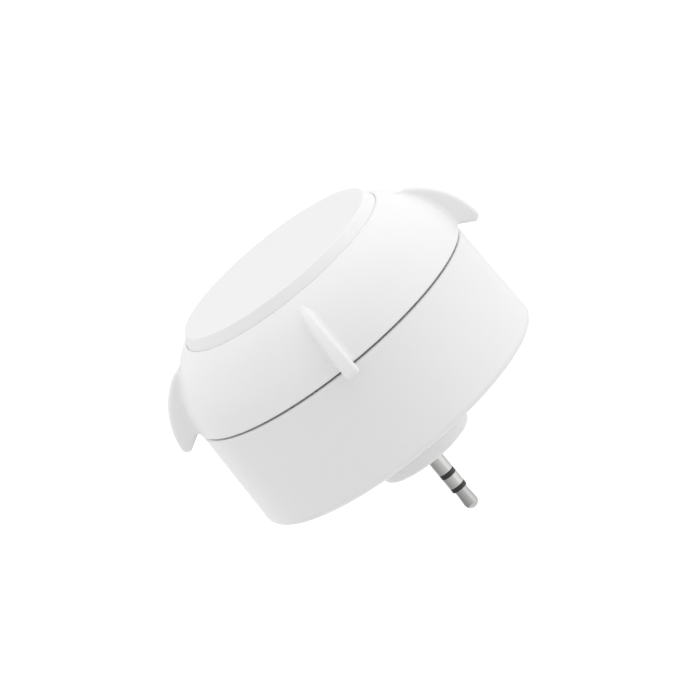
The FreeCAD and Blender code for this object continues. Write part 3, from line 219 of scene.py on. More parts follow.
def dot(tree, first, second):
    """Dot product of two vectors. The second is a socket or three numbers."""
    node = put(tree, "VectorMath", operation="DOT_PRODUCT")
    join(tree, first, node.inputs[0])
    feed(tree, node.inputs[1], second)
    return node.outputs["Value"]


def axes(tree, vector):
    """The three numbers of a vector, under X, Y and Z."""
    node = put(tree, "SeparateXYZ")
    join(tree, vector, node.inputs[0])
    return node.outputs


def axis_distance(tree, parts, centre=(0.0, 0.0)):
    """Distance from the upright line through a centre."""
    squares = []
    for axis, middle in zip("XY", centre):
        off = compute(tree, "SUBTRACT", parts[axis], middle)
        squares.append(compute(tree, "MULTIPLY", off, off))
    return compute(tree, "SQRT", compute(tree, "ADD", *squares))


def eased(tree, value, start, stop, first=0.0, last=1.0):
    """Ease from a first number to a last one while a value goes from start to stop."""
    node = put(tree, "MapRange", interpolation_type="SMOOTHSTEP")
    join(tree, value, node.inputs["Value"])
    feed(tree, node.inputs["From Min"], start)
    feed(tree, node.inputs["From Max"], stop)
    node.inputs["To Min"].default_value = first
    node.inputs["To Max"].default_value = last
    return node.outputs["Result"]


def noise(tree, coordinates, scale, detail=2.0, roughness=0.5):
    """A soft random pattern from 0 to 1. Its scale is a socket or a number, per metre."""
    node = put(tree, "TexNoise")
    join(tree, coordinates, node.inputs["Vector"])
    feed(tree, node.inputs["Scale"], scale)
    node.inputs["Detail"].default_value = detail
    node.inputs["Roughness"].default_value = roughness
    return node.outputs["Fac"]


def opaque(colour):
    """Red, green and blue with a full alpha."""
    return (*colour, 1.0)


def blended(tree, mask, first, second):
    """The first colour where the mask is 0, the second where it is 1. Each is a socket or a colour."""
    mix = put(tree, "Mix", data_type="RGBA")
    feed(tree, mix.inputs["Factor"], mask)
    for label, colour in (("A", first), ("B", second)):
        if isinstance(colour, bpy.types.NodeSocket):
            join(tree, colour, mix.inputs[label])
        else:
            mix.inputs[label].default_value = opaque(colour)
    return mix.outputs["Result"]


def cleared(owner, output_kind):
    """The emptied node tree of a material or a world, with a new output node."""
    owner.use_nodes = True
    tree = owner.node_tree
    tree.nodes.clear()
    return tree, put(tree, output_kind)


# Effects that several finishes share


def effect(name, inputs, outputs):
    """An empty node group with named sockets. Returns it with its input and output nodes."""
    tree = bpy.data.node_groups.new(name, "ShaderNodeTree")
    for label, kind, default in inputs:
        socket = tree.interface.new_socket(label, in_out="INPUT", socket_type="NodeSocket" + kind)
        if default is not None:
            socket.default_value = default
    for label, kind in outputs:
        tree.interface.new_socket(label, in_out="OUTPUT", socket_type="NodeSocket" + kind)
    return tree, tree.nodes.new("NodeGroupInput"), tree.nodes.new("NodeGroupOutput")


def patches(tree, given, size, **settings):
    """Noise inside an effect, whose patches are as wide as the effect's input of that name."""
    scale = compute(tree, "DIVIDE", 1.0, given.outputs[size])
    return noise(tree, given.outputs["Coordinates"], scale, **settings)


def tone_drift():
    """Colour that drifts a little over the surface, as in any moulding or plating."""
    tree, given, made = effect(
        "Tone drift",
        [("Coordinates", "Vector", None), ("Colour", "Color", (0.8, 0.8, 0.8, 1.0)),
         ("Patch", "Float", 10 * MM), ("Drift", "Float", 0.02)],
        [("Colour", "Color")],
    )
    patch = patches(tree, given, "Patch")
    # The noise strays from its middle by half at most, so twice that makes Drift the largest change
    swing = compute(tree, "MULTIPLY", compute(tree, "SUBTRACT", patch, 0.5), given.outputs["Drift"])
    factor = compute(tree, "ADD", 1.0, compute(tree, "MULTIPLY", swing, 2.0))
    scale = put(tree, "VectorMath", operation="SCALE")
    join(tree, given.outputs["Colour"], scale.inputs[0])
    join(tree, factor, scale.inputs["Scale"])
    join(tree, scale.outputs[0], made.inputs["Colour"])
    return tree


def moulded_grain():
    """Fine relief from the mould, and a gloss that varies in soft patches."""
    tree, given, made = effect(
        "Moulded grain",
        [("Coordinates", "Vector", None), ("Grain", "Float", 0.2 * MM), ("Patch", "Float", 6 * MM),
         ("Roughness", "Float", 0.4), ("Spread", "Float", 0.06)],
        [("Height", "Float"), ("Roughness", "Float")],
    )
    grain = patches(tree, given, "Grain", detail=3.0, roughness=0.6)
    patch = patches(tree, given, "Patch")
    swing = compute(tree, "MULTIPLY", compute(tree, "SUBTRACT", patch, 0.5), given.outputs["Spread"])
    rough = compute(tree, "ADD", given.outputs["Roughness"], swing, clamp=True)
    join(tree, grain, made.inputs["Height"])
    join(tree, rough, made.inputs["Roughness"])
    return tree


def worn_edges():
    """Mask of the convex edges, broken up so that wear is uneven."""
    tree, given, made = effect(
        "Worn edges",
        [("Coordinates", "Vector", None), ("Width", "Float", 0.3 * MM), ("Patch", "Float", 2 * MM),
         ("Contrast", "Float", 6.0)],
        [("Mask", "Float")],
    )
    rounded = put(tree, "Bevel", samples=4)
    join(tree, given.outputs["Width"], rounded.inputs["Radius"])
    plain = put(tree, "NewGeometry")
    meet = dot(tree, rounded.outputs["Normal"], plain.outputs["Normal"])
    bend = compute(tree, "SUBTRACT", 1.0, meet, clamp=True)
    patch = patches(tree, given, "Patch")
    sharp = compute(tree, "MULTIPLY", bend, given.outputs["Contrast"])
    mask = compute(tree, "MULTIPLY", sharp, patch, clamp=True)
    join(tree, mask, made.inputs["Mask"])
    return tree


def turned_rings():
    """Tool marks round the axis: they follow the height on a barrel and the radius on an end face."""
    tree, given, made = effect(
        "Turned rings",
        [("Coordinates", "Vector", None), ("Pitch", "Float", 0.08 * MM)],
        [("Height", "Float")],
    )
    parts = axes(tree, given.outputs["Coordinates"])
    along = compute(tree, "ADD", axis_distance(tree, parts), parts["Z"])
    line = put(tree, "TexNoise", noise_dimensions="1D")
    join(tree, compute(tree, "DIVIDE", along, given.outputs["Pitch"]), line.inputs["W"])
    line.inputs["Scale"].default_value = 1.0
    line.inputs["Detail"].default_value = 2.0
    join(tree, line.outputs["Fac"], made.inputs["Height"])
    return tree


def sound_normal():
    """The smooth normal, easing into the face's own where it leans far from that, as at a bad corner.

    Trusted and Dropped are dot products of the two. The smooth one counts alone above the first, and the
    face's own below the second.
    """
    tree, given, made = effect(
        "Sound normal",
        [("Trusted", "Float", 0.97), ("Dropped", "Float", 0.9)],
        [("Normal", "Vector")],
    )
    surface = put(tree, "NewGeometry")
    meet = dot(tree, surface.outputs["Normal"], surface.outputs["True Normal"])
    astray = eased(tree, meet, given.outputs["Dropped"], given.outputs["Trusted"], first=1.0, last=0.0)
    choice = put(tree, "Mix", data_type="VECTOR")
    join(tree, astray, choice.inputs["Factor"])
    join(tree, surface.outputs["Normal"], choice.inputs["A"])
    join(tree, surface.outputs["True Normal"], choice.inputs["B"])
    join(tree, choice.outputs["Result"], made.inputs["Normal"])
    return tree


def effect_node(tree, name, coordinates=None, **values):
    """Place a shared effect in a material, building it the first time."""
    makers = {
        "Tone drift": tone_drift,
        "Moulded grain": moulded_grain,
        "Worn edges": worn_edges,
        "Turned rings": turned_rings,
        "Sound normal": sound_normal,
    }
    node = put(tree, "Group")
    node.node_tree = bpy.data.node_groups.get(name) or makers[name]()
    if coordinates is not None:
        join(tree, coordinates, node.inputs["Coordinates"])
    for label, value in values.items():
        feed(tree, node.inputs[label], value)
    return node


# Finishes


def new_finish(name):
    """A fresh material with its Principled BSDF and the object's own coordinates."""
    material = bpy.data.materials.new(name)
    tree, output = cleared(material, "OutputMaterial")
    shader = put(tree, "BsdfPrincipled")
    join(tree, shader.outputs["BSDF"], output.inputs["Surface"])
    place = put(tree, "TexCoord").outputs["Object"]
    return material, tree, shader, place


def relief(tree, shader, height, depth):
    """Bump the surface by a height of 0 to 1 times a depth in metres."""
    bump = put(tree, "Bump")
    bump.inputs["Strength"].default_value = 1.0
    bump.inputs["Distance"].default_value = depth
    join(tree, effect_node(tree, "Sound normal").outputs["Normal"], bump.inputs["Normal"])
    join(tree, height, bump.inputs["Height"])
    join(tree, bump.outputs["Normal"], shader.inputs["Normal"])


def drifting(tree, place, colour, patch, drift):
    """A base colour that drifts a little over the surface."""
    tone = effect_node(tree, "Tone drift", place, Colour=colour, Patch=patch, Drift=drift)
    return tone.outputs["Colour"]


def grained(tree, shader, place, **values):
    """Give a shader the patchy gloss of the moulded grain, and return the height of its relief."""
    surface = effect_node(tree, "Moulded grain", place, **values)
    join(tree, surface.outputs["Roughness"], shader.inputs["Roughness"])
    return surface.outputs["Height"]


def moulded(name, colour, roughness, grain, depth, drift=0.02, wear=0.0, glow=0.0, tint=None):
    """Moulded plastic: drifting tone, fine grain, patchy gloss, paler edges. A tint varies its colour."""
    material, tree, shader, place = new_finish(name)
    base = tint(tree, place, colour) if tint else opaque(colour)
    tone = drifting(tree, place, base, patch=12 * MM, drift=drift)
    edges = effect_node(tree, "Worn edges", place)
    worn = compute(tree, "MULTIPLY", edges.outputs["Mask"], wear)
    join(tree, blended(tree, worn, tone, WORN), shader.inputs["Base Color"])
    height = grained(tree, shader, place, Grain=grain, Roughness=roughness)
    relief(tree, shader, height, depth)
    shader.inputs["IOR"].default_value = 1.5
    shader.inputs["Subsurface Weight"].default_value = glow
    shader.inputs["Subsurface Radius"].default_value = (1.0, 1.0, 1.0)
    shader.inputs["Subsurface Scale"].default_value = MM
    return material


def plated(name, colour, roughness, depth, pitch=0.08 * MM):
    """Plated metal with turning marks."""
    material, tree, shader, place = new_finish(name)
    tone = drifting(tree, place, opaque(colour), patch=2 * MM, drift=0.04)
    join(tree, tone, shader.inputs["Base Color"])
    grained(tree, shader, place, Grain=0.4 * MM, Patch=1.5 * MM, Roughness=roughness, Spread=0.12)
    rings = effect_node(tree, "Turned rings", place, Pitch=pitch)
    relief(tree, shader, rings.outputs["Height"], depth)
    shader.inputs["Metallic"].default_value = 1.0
    return material


def outside_box(tree, place, centre, half):
    """Mask of what lies outside an upright box: the legs beside a moulded case."""
    parts = axes(tree, place)
    past = []
    for axis, middle, reach in zip("XY", centre, half):
        off = compute(tree, "SUBTRACT", parts[axis], middle)
        past.append(compute(tree, "SUBTRACT", compute(tree, "ABSOLUTE", off), reach))
    return compute(tree, "GREATER_THAN", compute(tree, "MAXIMUM", *past), 0.0)


def inside_disc(tree, place, centre, radius, soft):
    """Mask of an upright cylinder round a middle point, soft at its rim."""
    distance = axis_distance(tree, axes(tree, place), centre)
    return eased(tree, distance, radius - soft, radius + soft, first=1.0, last=0.0)


def two_tone(name, first, second, find_mask, roughness, depth, metal=False):
    """Moulded body with a second material on it: tinned legs, a phosphor spot or a dark chip."""
    material, tree, shader, place = new_finish(name)
    mask = find_mask(tree, place)
    tone = drifting(tree, place, blended(tree, mask, first, second), patch=2 * MM, drift=0.05)
    join(tree, tone, shader.inputs["Base Color"])
    if metal:
        join(tree, mask, shader.inputs["Metallic"])
    height = grained(tree, shader, place, Grain=0.1 * MM, Patch=MM, Roughness=roughness)
    relief(tree, shader, height, depth)
    return material


def legged(name, colours, case_colour, node, leg_reach, roughness=0.45):
    """A moulded case with tinned legs, told apart by its box. The legs reach out along X and Y."""
    low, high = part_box(node)
    centre = (low + high) / 2
    half = (high - low) / 2

    def legs(tree, place):
        """Mask of the legs."""
        return outside_box(tree, place, centre[:2], (half.x - leg_reach[0], half.y - leg_reach[1]))

    return two_tone(name, case_colour, colours.solder, legs, roughness, depth=4 * MICRON, metal=True)


def centred_spot(name, node, body_colour, spot_colour, radius, roughness):
    """A moulded part with a round spot of another colour in its middle."""
    low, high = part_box(node)
    centre = (low + high) / 2

    def spot(tree, place):
        """Mask of the spot."""
        return inside_disc(tree, place, centre[:2], radius, soft=radius / 8)

    return two_tone(name, body_colour, spot_colour, spot, roughness, depth=2 * MICRON)


def clear_resin(name, colour, roughness):
    """Cast clear plastic with a faint haze that drifts."""
    material, tree, shader, place = new_finish(name)
    tone = drifting(tree, place, opaque(colour), patch=2 * MM, drift=0.03)
    join(tree, tone, shader.inputs["Base Color"])
    height = grained(tree, shader, place, Grain=0.3 * MM, Patch=2 * MM, Roughness=roughness, Spread=0.05)
    relief(tree, shader, height, MICRON)
    shader.inputs["Transmission Weight"].default_value = 0.9
    shader.inputs["IOR"].default_value = 1.49
    return material


def coated_filter(name, colour, sheen):
    """Dark coated silicon: near black, with a glossy coat whose tint drifts from blue to violet."""
    material, tree, shader, place = new_finish(name)
    coat = noise(tree, place, scale=900.0)
    join(tree, blended(tree, coat, colour, sheen), shader.inputs["Base Color"])
    height = grained(tree, shader, place, Grain=0.2 * MM, Patch=MM, Roughness=0.12, Spread=0.05)
    relief(tree, shader, height, 0.5 * MICRON)
    shader.inputs["Coat Weight"].default_value = 0.6
    shader.inputs["IOR"].default_value = 2.2
    return material


def tracked_board(name, mask_colour, laminate):
    """Solder mask over copper tracks, which stand up a little and look paler. The edges are bare."""
    material, tree, shader, place = new_finish(name)
    tracks = put(tree, "TexBrick", offset=0.5)
    join(tree, place, tracks.inputs["Vector"])
    tracks.inputs["Scale"].default_value = 1.0
    tracks.inputs["Mortar Size"].default_value = 0.16 * MM
    tracks.inputs["Mortar Smooth"].default_value = 0.15
    tracks.inputs["Brick Width"].default_value = 13.5 * MM
    tracks.inputs["Row Height"].default_value = 1.27 * MM
    routed = compute(tree, "GREATER_THAN", noise(tree, place, scale=260.0), 0.5)
    copper = compute(tree, "MULTIPLY", tracks.outputs["Fac"], routed)
    copper_gain = 1.8
    paler = tuple(min(1.0, part * copper_gain) for part in mask_colour)
    face = blended(tree, copper, mask_colour, paler)
    facing = axes(tree, put(tree, "TexCoord").outputs["Normal"])
    edge = compute(tree, "LESS_THAN", compute(tree, "ABSOLUTE", facing["Z"]), 0.5)
    tone = drifting(tree, place, blended(tree, edge, face, laminate), patch=4 * MM, drift=0.05)
    join(tree, tone, shader.inputs["Base Color"])
    grain = grained(tree, shader, place, Grain=0.3 * MM, Patch=3 * MM, Roughness=0.32)
    copper_depth, grain_share = 35 * MICRON, 0.15
    height = compute(tree, "ADD", copper, compute(tree, "MULTIPLY", grain, grain_share))
    relief(tree, shader, height, copper_depth)
    return material


def shrunk_sleeve(name, colours, node):
    """Shrunk sleeve with a pale stripe down one side, and the bare can at the end."""
    low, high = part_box(node)
    centre = (low + high) / 2
    radius = (high.x - low.x) / 2
    stripe_from = centre.x + radius * 0.8
    end_radius, end_softness, end_height = radius * 0.8, radius * 0.02, radius * 0.03
    material, tree, shader, place = new_finish(name)
    parts = axes(tree, place)
    stripe = compute(tree, "GREATER_THAN", parts["X"], stripe_from)
    low_enough = compute(tree, "LESS_THAN", parts["Z"], low.z + end_height)
    end = inside_disc(tree, place, centre[:2], end_radius, end_softness)
    bare = compute(tree, "MULTIPLY", low_enough, end)
    wrapped = blended(tree, stripe, colours.sleeve, colours.stripe)
    tone = drifting(tree, place, blended(tree, bare, wrapped, colours.can), patch=2 * MM, drift=0.04)
    join(tree, tone, shader.inputs["Base Color"])
    join(tree, bare, shader.inputs["Metallic"])
    height = grained(tree, shader, place, Grain=0.5 * MM, Patch=2 * MM, Roughness=0.3)
    relief(tree, shader, height, 3 * MICRON)
    return material


# Small pieces that the frame leaves out


def new_piece(name, mesh, material, body):
    """A finished mesh as a piece of the object that moves with a body."""
    mesh.materials.append(material)
    piece = bpy.data.objects.new(name, mesh)
    bpy.context.scene.collection.objects.link(piece)
    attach(piece, body)


def finished_mesh(name, work):
    """Turn a mesh in the making into a real one."""
    mesh = bpy.data.meshes.new(name)
    work.to_mesh(mesh)
    work.free()
    return mesh


def loose_parts(node):
    """Lowest and highest corner of each separate solid of a node."""
    work = bmesh.new()
    work.from_mesh(frame["nodes"][node].data)
    bmesh.ops.remove_doubles(work, verts=work.verts, dist=TINY)
    left = set(work.verts)
    boxes = []
    while left:
        waiting = [left.pop()]
        corners = []
        while waiting:
            vertex = waiting.pop()
            corners.append(vertex.co)
            for edge in vertex.link_edges:
                other = edge.other_vert(vertex)
                if other in left:
                    left.remove(other)
                    waiting.append(other)
        boxes.append((Vector(map(min, zip(*corners))), Vector(map(max, zip(*corners)))))
    work.free()
    return sorted(boxes, key=lambda pair: tuple(pair[0]))


def add_rounded_box(work, low, high, edge):
    """A box with bevelled edges, added to a mesh in the making."""
    made = bmesh.ops.create_cube(work, size=1.0)["verts"]
    for vertex in made:
        vertex.co = Vector(low[i] + (vertex.co[i] + 0.5) * (high[i] - low[i]) for i in range(3))
    edges = {link for vertex in made for link in vertex.link_edges}
    bmesh.ops.bevel(work, geom=list(edges), offset=edge, segments=2, profile=0.5, affect="EDGES")


def chip_cap_mesh():
    """Tinned caps on both ends of every small chip."""
    work = bmesh.new()
    skin, cap, edge = 0.02 * MM, 0.32 * MM, 0.06 * MM
    for low, high in loose_parts("chip_parts"):
        for start, stop in ((low.y - skin, low.y + cap), (high.y - cap, high.y + skin)):
            near = Vector((low.x - skin, start, low.z))
            far = Vector((high.x + skin, stop, high.z + skin))
            add_rounded_box(work, near, far, edge)
    return finished_mesh("chip_caps", work)


def add_turned(work, profile, centre, steps=32):
    """Turn a profile of (radius, height) round an upright line. Both of its ends lie on that line."""
    turns = [2 * math.pi * step / steps for step in range(steps)]
    rings = []
    for radius, height in profile:
        around = turns if radius > TINY else [0.0]
        ring = [Vector((radius * math.cos(turn), radius * math.sin(turn), height)) for turn in around]
        rings.append([work.verts.new(centre + point) for point in ring])
    for lower, upper in zip(rings, rings[1:]):
        for step in range(steps):
            after = (step + 1) % steps
            corners = [lower[step % len(lower)], lower[after % len(lower)]]
            corners += [upper[after % len(upper)], upper[step % len(upper)]]
            work.faces.new(list(dict.fromkeys(corners)))


# The drop's flank, in millimetres out from the lead and up from the board
SOLDER_FLANK = ((0.16, 0.0), (0.19, 0.07), (0.12, 0.25), (0.05, 0.5), (0.0, 0.7))


def solder_mesh():
    """A drop of solder round the foot of each lead."""
    work = bmesh.new()
    for name in ("ground_lead", "supply_lead", "dimming_lead"):
        low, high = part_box(name)
        radius = (high.x - low.x) / 2
        foot = Vector(((low.x + high.x) / 2, 0.0, low.z))
        flank = [(radius + out * MM, rise * MM) for out, rise in SOLDER_FLANK]
        add_turned(work, [(0.0, 0.0), *flank, (0.0, flank[-1][1])], foot)
    mesh = finished_mesh("solder_joints", work)
    for face in mesh.polygons:
        face.use_smooth = True
    return mesh


def flat_top_radius(node):
    """How far a round node's flat top reaches from the axis."""
    corners = [vertex.co for vertex in frame["nodes"][node].data.vertices]
    top = max(corner.z for corner in corners)
    return max(math.hypot(corner.x, corner.y) for corner in corners if top - corner.z < TINY)


def dress(material, slot, *names):
    """Give CAD nodes a finish in place of their plain one."""
    for name in names:
        node = frame["nodes"][name]
        for holder in node.material_slots:
            holder.material = material


# Operators: one for each group of like pieces, and one for the stage


class SENSOR_OT_shells(bpy.types.Operator):
    """Finish the housing and the twist cover"""

    bl_idname = "sensor.shells"
    bl_label = "Housing and cover"

    def execute(self, context):
        colours = context.scene.sensor_colours
        polished = {"grain": 0.2 * MM, "depth": 1.5 * MICRON, "drift": 0.008, "wear": 0.3}
        shell = moulded("Housing plastic", colours.shell, roughness=0.22, **polished)
        dress(shell, "white_shell", "housing")
        cover = moulded("Cover plastic", colours.cover, roughness=0.24, **polished)
        dress(cover, "white_cover", "twist_cover")
        return {"FINISHED"}


class SENSOR_OT_lens(bpy.types.Operator):
    """Finish the lens and the ring that holds it"""

    bl_idname = "sensor.lens"
    bl_label = "Lens"

    def execute(self, context):
        colours = context.scene.sensor_colours
        face_radius = flat_top_radius("lens")

        def painted_light_rim(tree, place, colour):
            """The rim painted paler outside the flat face: painted light, for light that reaches it
            through the polyethylene from its white seat.
            """
            middle = inside_disc(tree, place, (0.0, 0.0), face_radius, soft=0.15 * MM)
            return blended(tree, middle, colours.lens_rim_painted_light, colour)

        disc = moulded(
            "Lens polyethylene", colours.lens, roughness=0.55, grain=0.3 * MM, depth=3 * MICRON,
            drift=0.01, glow=0.15, tint=painted_light_rim,
        )
        dress(disc, "lens_white", "lens")
        ring = moulded("Ring plastic", colours.inner, roughness=0.5, grain=0.3 * MM, depth=4 * MICRON)
        dress(ring, "inner_plastic", "lens_ring")
        return {"FINISHED"}


class SENSOR_OT_seals(bpy.types.Operator):
    """Finish the three seals"""

    bl_idname = "sensor.seals"
    bl_label = "Seals"

    def execute(self, context):
        colours = context.scene.sensor_colours
        seal = moulded(
            "Seal silicone", colours.seal, roughness=0.6, grain=0.3 * MM, depth=4 * MICRON, drift=0.05
        )
        dress(seal, "seal_rubber", "lens_seal", "cover_seal", "neck_seal")
        return {"FINISHED"}


class SENSOR_OT_plug(bpy.types.Operator):
    """Finish the jack plug, its carrier and its three leads, and add the solder joints"""

    bl_idname = "sensor.plug"
    bl_label = "Jack plug"

    def execute(self, context):
        colours = context.scene.sensor_colours
        turned = {"roughness": 0.2, "depth": 0.8 * MICRON}
        metal = plated("Contact plating", colours.plug, **turned)
        dress(metal, "plug_metal", "plug_ring", "plug_sleeve")
        # The tip's plating is painted darker than the rest of the contacts: a painted shade for the
        # darker reflection that the tip shows.
        tip_painted_shade = 0.85
        tip_shaded_colour = tuple(tip_painted_shade * part for part in colours.plug)
        dress(plated("Tip plating", tip_shaded_colour, **turned), "plug_metal", "plug_tip")
        insulator = moulded(
            "Insulator plastic", colours.black, roughness=0.3, grain=0.2 * MM, depth=2 * MICRON
        )
        dress(insulator, "black_plastic", "tip_insulator", "ring_insulator")
        carrier = moulded(
            "Carrier plastic", colours.inner, roughness=0.5, grain=0.3 * MM, depth=5 * MICRON
        )
        dress(carrier, "inner_plastic", "plug_carrier")
        rubbery = {"roughness": 0.42, "grain": 0.4 * MM, "depth": 4 * MICRON, "drift": 0.05}
        leads = (("ground", "lead_black"), ("supply", "lead_red"), ("dimming", "lead_violet"))
        for name, slot in leads:
            sheath = moulded(f"Lead {name}", getattr(colours, name), **rubbery)
            dress(sheath, slot, f"{name}_lead")
        joint = plated("Soft solder", colours.solder, roughness=0.3, depth=2 * MICRON, pitch=0.3 * MM)
        new_piece("solder_joints", solder_mesh(), joint, "housing_body")
        return {"FINISHED"}


class SENSOR_OT_board(bpy.types.Operator):
    """Finish the board, the chips on it and the parts below it, and add the small chips' caps"""

    bl_idname = "sensor.board"
    bl_label = "Board and chips"

    def execute(self, context):
        colours = context.scene.sensor_colours
        dress(tracked_board("Solder mask", colours.board, colours.laminate), "board_green", "main_board")
        leg = 0.9 * MM
        case = legged("Controller case", colours, colours.black, "controller_chip", (leg, leg))
        dress(case, "black_plastic", "controller_chip")
        case = legged("Regulator case", colours, colours.black, "voltage_regulator", (0.0, leg))
        dress(case, "black_plastic", "voltage_regulator")
        core = moulded(
            "Pressed ferrite", colours.ferrite, roughness=0.62, grain=0.15 * MM, depth=12 * MICRON,
            drift=0.1,
        )
        dress(core, "black_plastic", "inductor")
        ceramic = moulded(
            "Chip ceramic", colours.chip, roughness=0.5, grain=0.1 * MM, depth=4 * MICRON, drift=0.08
        )
        dress(ceramic, "chip_tan", "chip_parts")
        tinned = plated("Chip caps", colours.solder, roughness=0.35, depth=MICRON, pitch=0.2 * MM)
        new_piece("chip_caps", chip_cap_mesh(), tinned, "housing_body")
        sleeve = shrunk_sleeve("Capacitor sleeve", colours, "supply_capacitor")
        dress(sleeve, "capacitor_sleeve", "supply_capacitor")
        nylon = moulded(
            "Connector nylon", colours.inner, roughness=0.45, grain=0.2 * MM, depth=3 * MICRON
        )
        dress(nylon, "inner_plastic", "board_connector", "lead_plug")
        return {"FINISHED"}


class SENSOR_OT_sensors(bpy.types.Operator):
    """Finish the motion sensor, the daylight sensor, the receiver, the indicator and its light pipe"""

    bl_idname = "sensor.sensors"
    bl_label = "Sensors and indicator"

    def execute(self, context):
        colours = context.scene.sensor_colours
        can = plated("Can plating", colours.can, roughness=0.3, depth=MICRON, pitch=0.15 * MM)
        dress(can, "can_metal", "pyro_sensor")
        window = coated_filter("Coated filter", colours.filter, colours.sheen)
        dress(window, "filter_dark", "pyro_window")
        lamp = centred_spot(
            "Indicator", "status_led", colours.resin, colours.phosphor, radius=1.1 * MM, roughness=0.3
        )
        dress(lamp, "led_clear", "status_led")
        eye = centred_spot(
            "Daylight sensor", "daylight_sensor", colours.resin, colours.die,
            radius=0.6 * MM, roughness=0.15,
        )
        dress(eye, "led_clear", "daylight_sensor")
        pipe = clear_resin("Light pipe resin", colours.resin, roughness=0.08)
        dress(pipe, "pipe_clear", "light_pipe")
        epoxy = moulded(
            "Receiver epoxy", colours.black, roughness=0.22, grain=0.3 * MM, depth=2 * MICRON, drift=0.1
        )
        dress(epoxy, "black_plastic", "remote_receiver")
        return {"FINISHED"}


class SENSOR_OT_settings(bpy.types.Operator):
    """Finish the setting switches, the deck round them and the screws"""

    bl_idname = "sensor.settings"
    bl_label = "Settings deck"

    def execute(self, context):
        colours = context.scene.sensor_colours
        deck = moulded("Deck plastic", colours.inner, roughness=0.5, grain=0.3 * MM, depth=5 * MICRON)
        dress(deck, "inner_plastic", "settings_deck")
        leg = 1.1 * MM
        block = legged("Switch block", colours, colours.switch, "dip_switch", (leg, 0.0), roughness=0.4)
        dress(block, "switch_blue", "dip_switch")
        slider = moulded(
            "Slider plastic", colours.slider, roughness=0.4, grain=0.1 * MM, depth=2 * MICRON
        )
        dress(slider, "slider_white", *(f"dip_slider_{number}" for number in range(1, 5)))
        steel = plated("Zinc plating", colours.steel, roughness=0.34, depth=2 * MICRON, pitch=0.2 * MM)
        dress(steel, "screw_steel", "deck_screws", "carrier_screws")
        return {"FINISHED"}


class SENSOR_OT_stage(bpy.types.Operator):
    """Make the floor, the sky, the lamp, the screen seen in gloss and the camera"""

    bl_idname = "sensor.stage"
    bl_label = "Stage"

    def execute(self, context):
        studio = context.scene.sensor_studio
        make_floor(studio)
        make_sky(studio)
        make_lamp(studio)
        make_screen(studio)
        make_camera(studio)
        context.scene.view_settings.view_transform = "Standard"
        return {"FINISHED"}


# Stage


def seen_background(tree):
    """1 for rays that show the background as such: to the camera, in gloss and through glass."""
    rays = put(tree, "LightPath")
    seen = compute(tree, "MAXIMUM", rays.outputs["Is Camera Ray"], rays.outputs["Is Glossy Ray"])
    return compute(tree, "MAXIMUM", seen, rays.outputs["Is Transmission Ray"])


def stage_piece(name, corners, faces, material):
    """A mesh of the studio, which isn't part of the object."""
    mesh = bpy.data.meshes.new(name)
    mesh.from_pydata(corners, [], faces)
    mesh.materials.append(material)
    piece = bpy.data.objects.new(name, mesh)
    bpy.context.scene.collection.objects.link(piece)
    return piece


def make_floor(studio):
    """A pale floor far below, which blends into the white round it."""
    material = bpy.data.materials.new("Pale floor")
    tree, output = cleared(material, "OutputMaterial")
    pale = put(tree, "BsdfDiffuse")
    pale.inputs["Color"].default_value = opaque([studio.floor_tone] * 3)
    lift = put(tree, "Emission")
    strength = compute(tree, "MULTIPLY", seen_background(tree), studio.floor_lift)
    join(tree, strength, lift.inputs["Strength"])
    both = put(tree, "AddShader")
    join(tree, pale.outputs[0], both.inputs[0])
    join(tree, lift.outputs[0], both.inputs[1])
    join(tree, both.outputs[0], output.inputs["Surface"])
    half = studio.floor_size / 2
    level = CAD_BOX[0].z - studio.floor_drop
    corners = [(-half, -half, level), (half, -half, level), (half, half, level), (-half, half, level)]
    stage_piece("floor", corners, [(0, 1, 2, 3)], material)


def make_sky(studio):
    """White where it is seen. As light it is a soft tent, brighter overhead, behind and at the sides."""
    world = bpy.data.worlds.new("Studio sky")
    bpy.context.scene.world = world
    tree, output = cleared(world, "OutputWorld")
    white = put(tree, "Background")
    white.inputs["Color"].default_value = opaque(WHITE)
    direction = put(tree, "TexCoord").outputs["Generated"]
    lean = dot(tree, direction, (studio.sky_right, studio.sky_rear, studio.sky_top))
    across = axes(tree, direction)["X"]
    sides = compute(tree, "MULTIPLY", compute(tree, "MULTIPLY", across, across), studio.sky_sides)
    level = compute(tree, "ADD", compute(tree, "ADD", lean, sides), studio.sky)
    strength = put(tree, "Mix", data_type="FLOAT")
    join(tree, seen_background(tree), strength.inputs["Factor"])
    join(tree, level, strength.inputs["A"])
    strength.inputs["B"].default_value = 1.0
    join(tree, strength.outputs["Result"], white.inputs["Strength"])
    join(tree, white.outputs[0], output.inputs["Surface"])


def make_lamp(studio):
    """One large soft lamp on the right, a little behind and above."""
    lamp = bpy.data.lights.new("Key lamp", "AREA")
    lamp.shape = "RECTANGLE"
    lamp.size = studio.key_width
    lamp.size_y = studio.key_height
    lamp.energy = studio.key_power
    key = bpy.data.objects.new("Key lamp", lamp)
    bpy.context.scene.collection.objects.link(key)
    key.location = SEAM_MIDDLE + Vector(studio.key_place)
    key.rotation_mode = "QUATERNION"
    key.rotation_quaternion = (SEAM_MIDDLE - key.location).to_track_quat("-Z", "Y")
    key.visible_camera = False
    key.visible_glossy = False


# Brightness of the screen against the direction from the object, in degrees to the right of its front
SCREEN_TONES = (
    (-180, 0.90), (-140, 0.90), (-110, 0.56), (-85, 0.54), (-52, 0.68), (-24, 0.80), (3, 0.92),
    (30, 1.08), (44, 1.40), (60, 1.50), (76, 1.42), (95, 1.30), (130, 1.00), (180, 0.90),
)
# Degrees from one upright edge of the screen to the next
SCREEN_STEP = 5


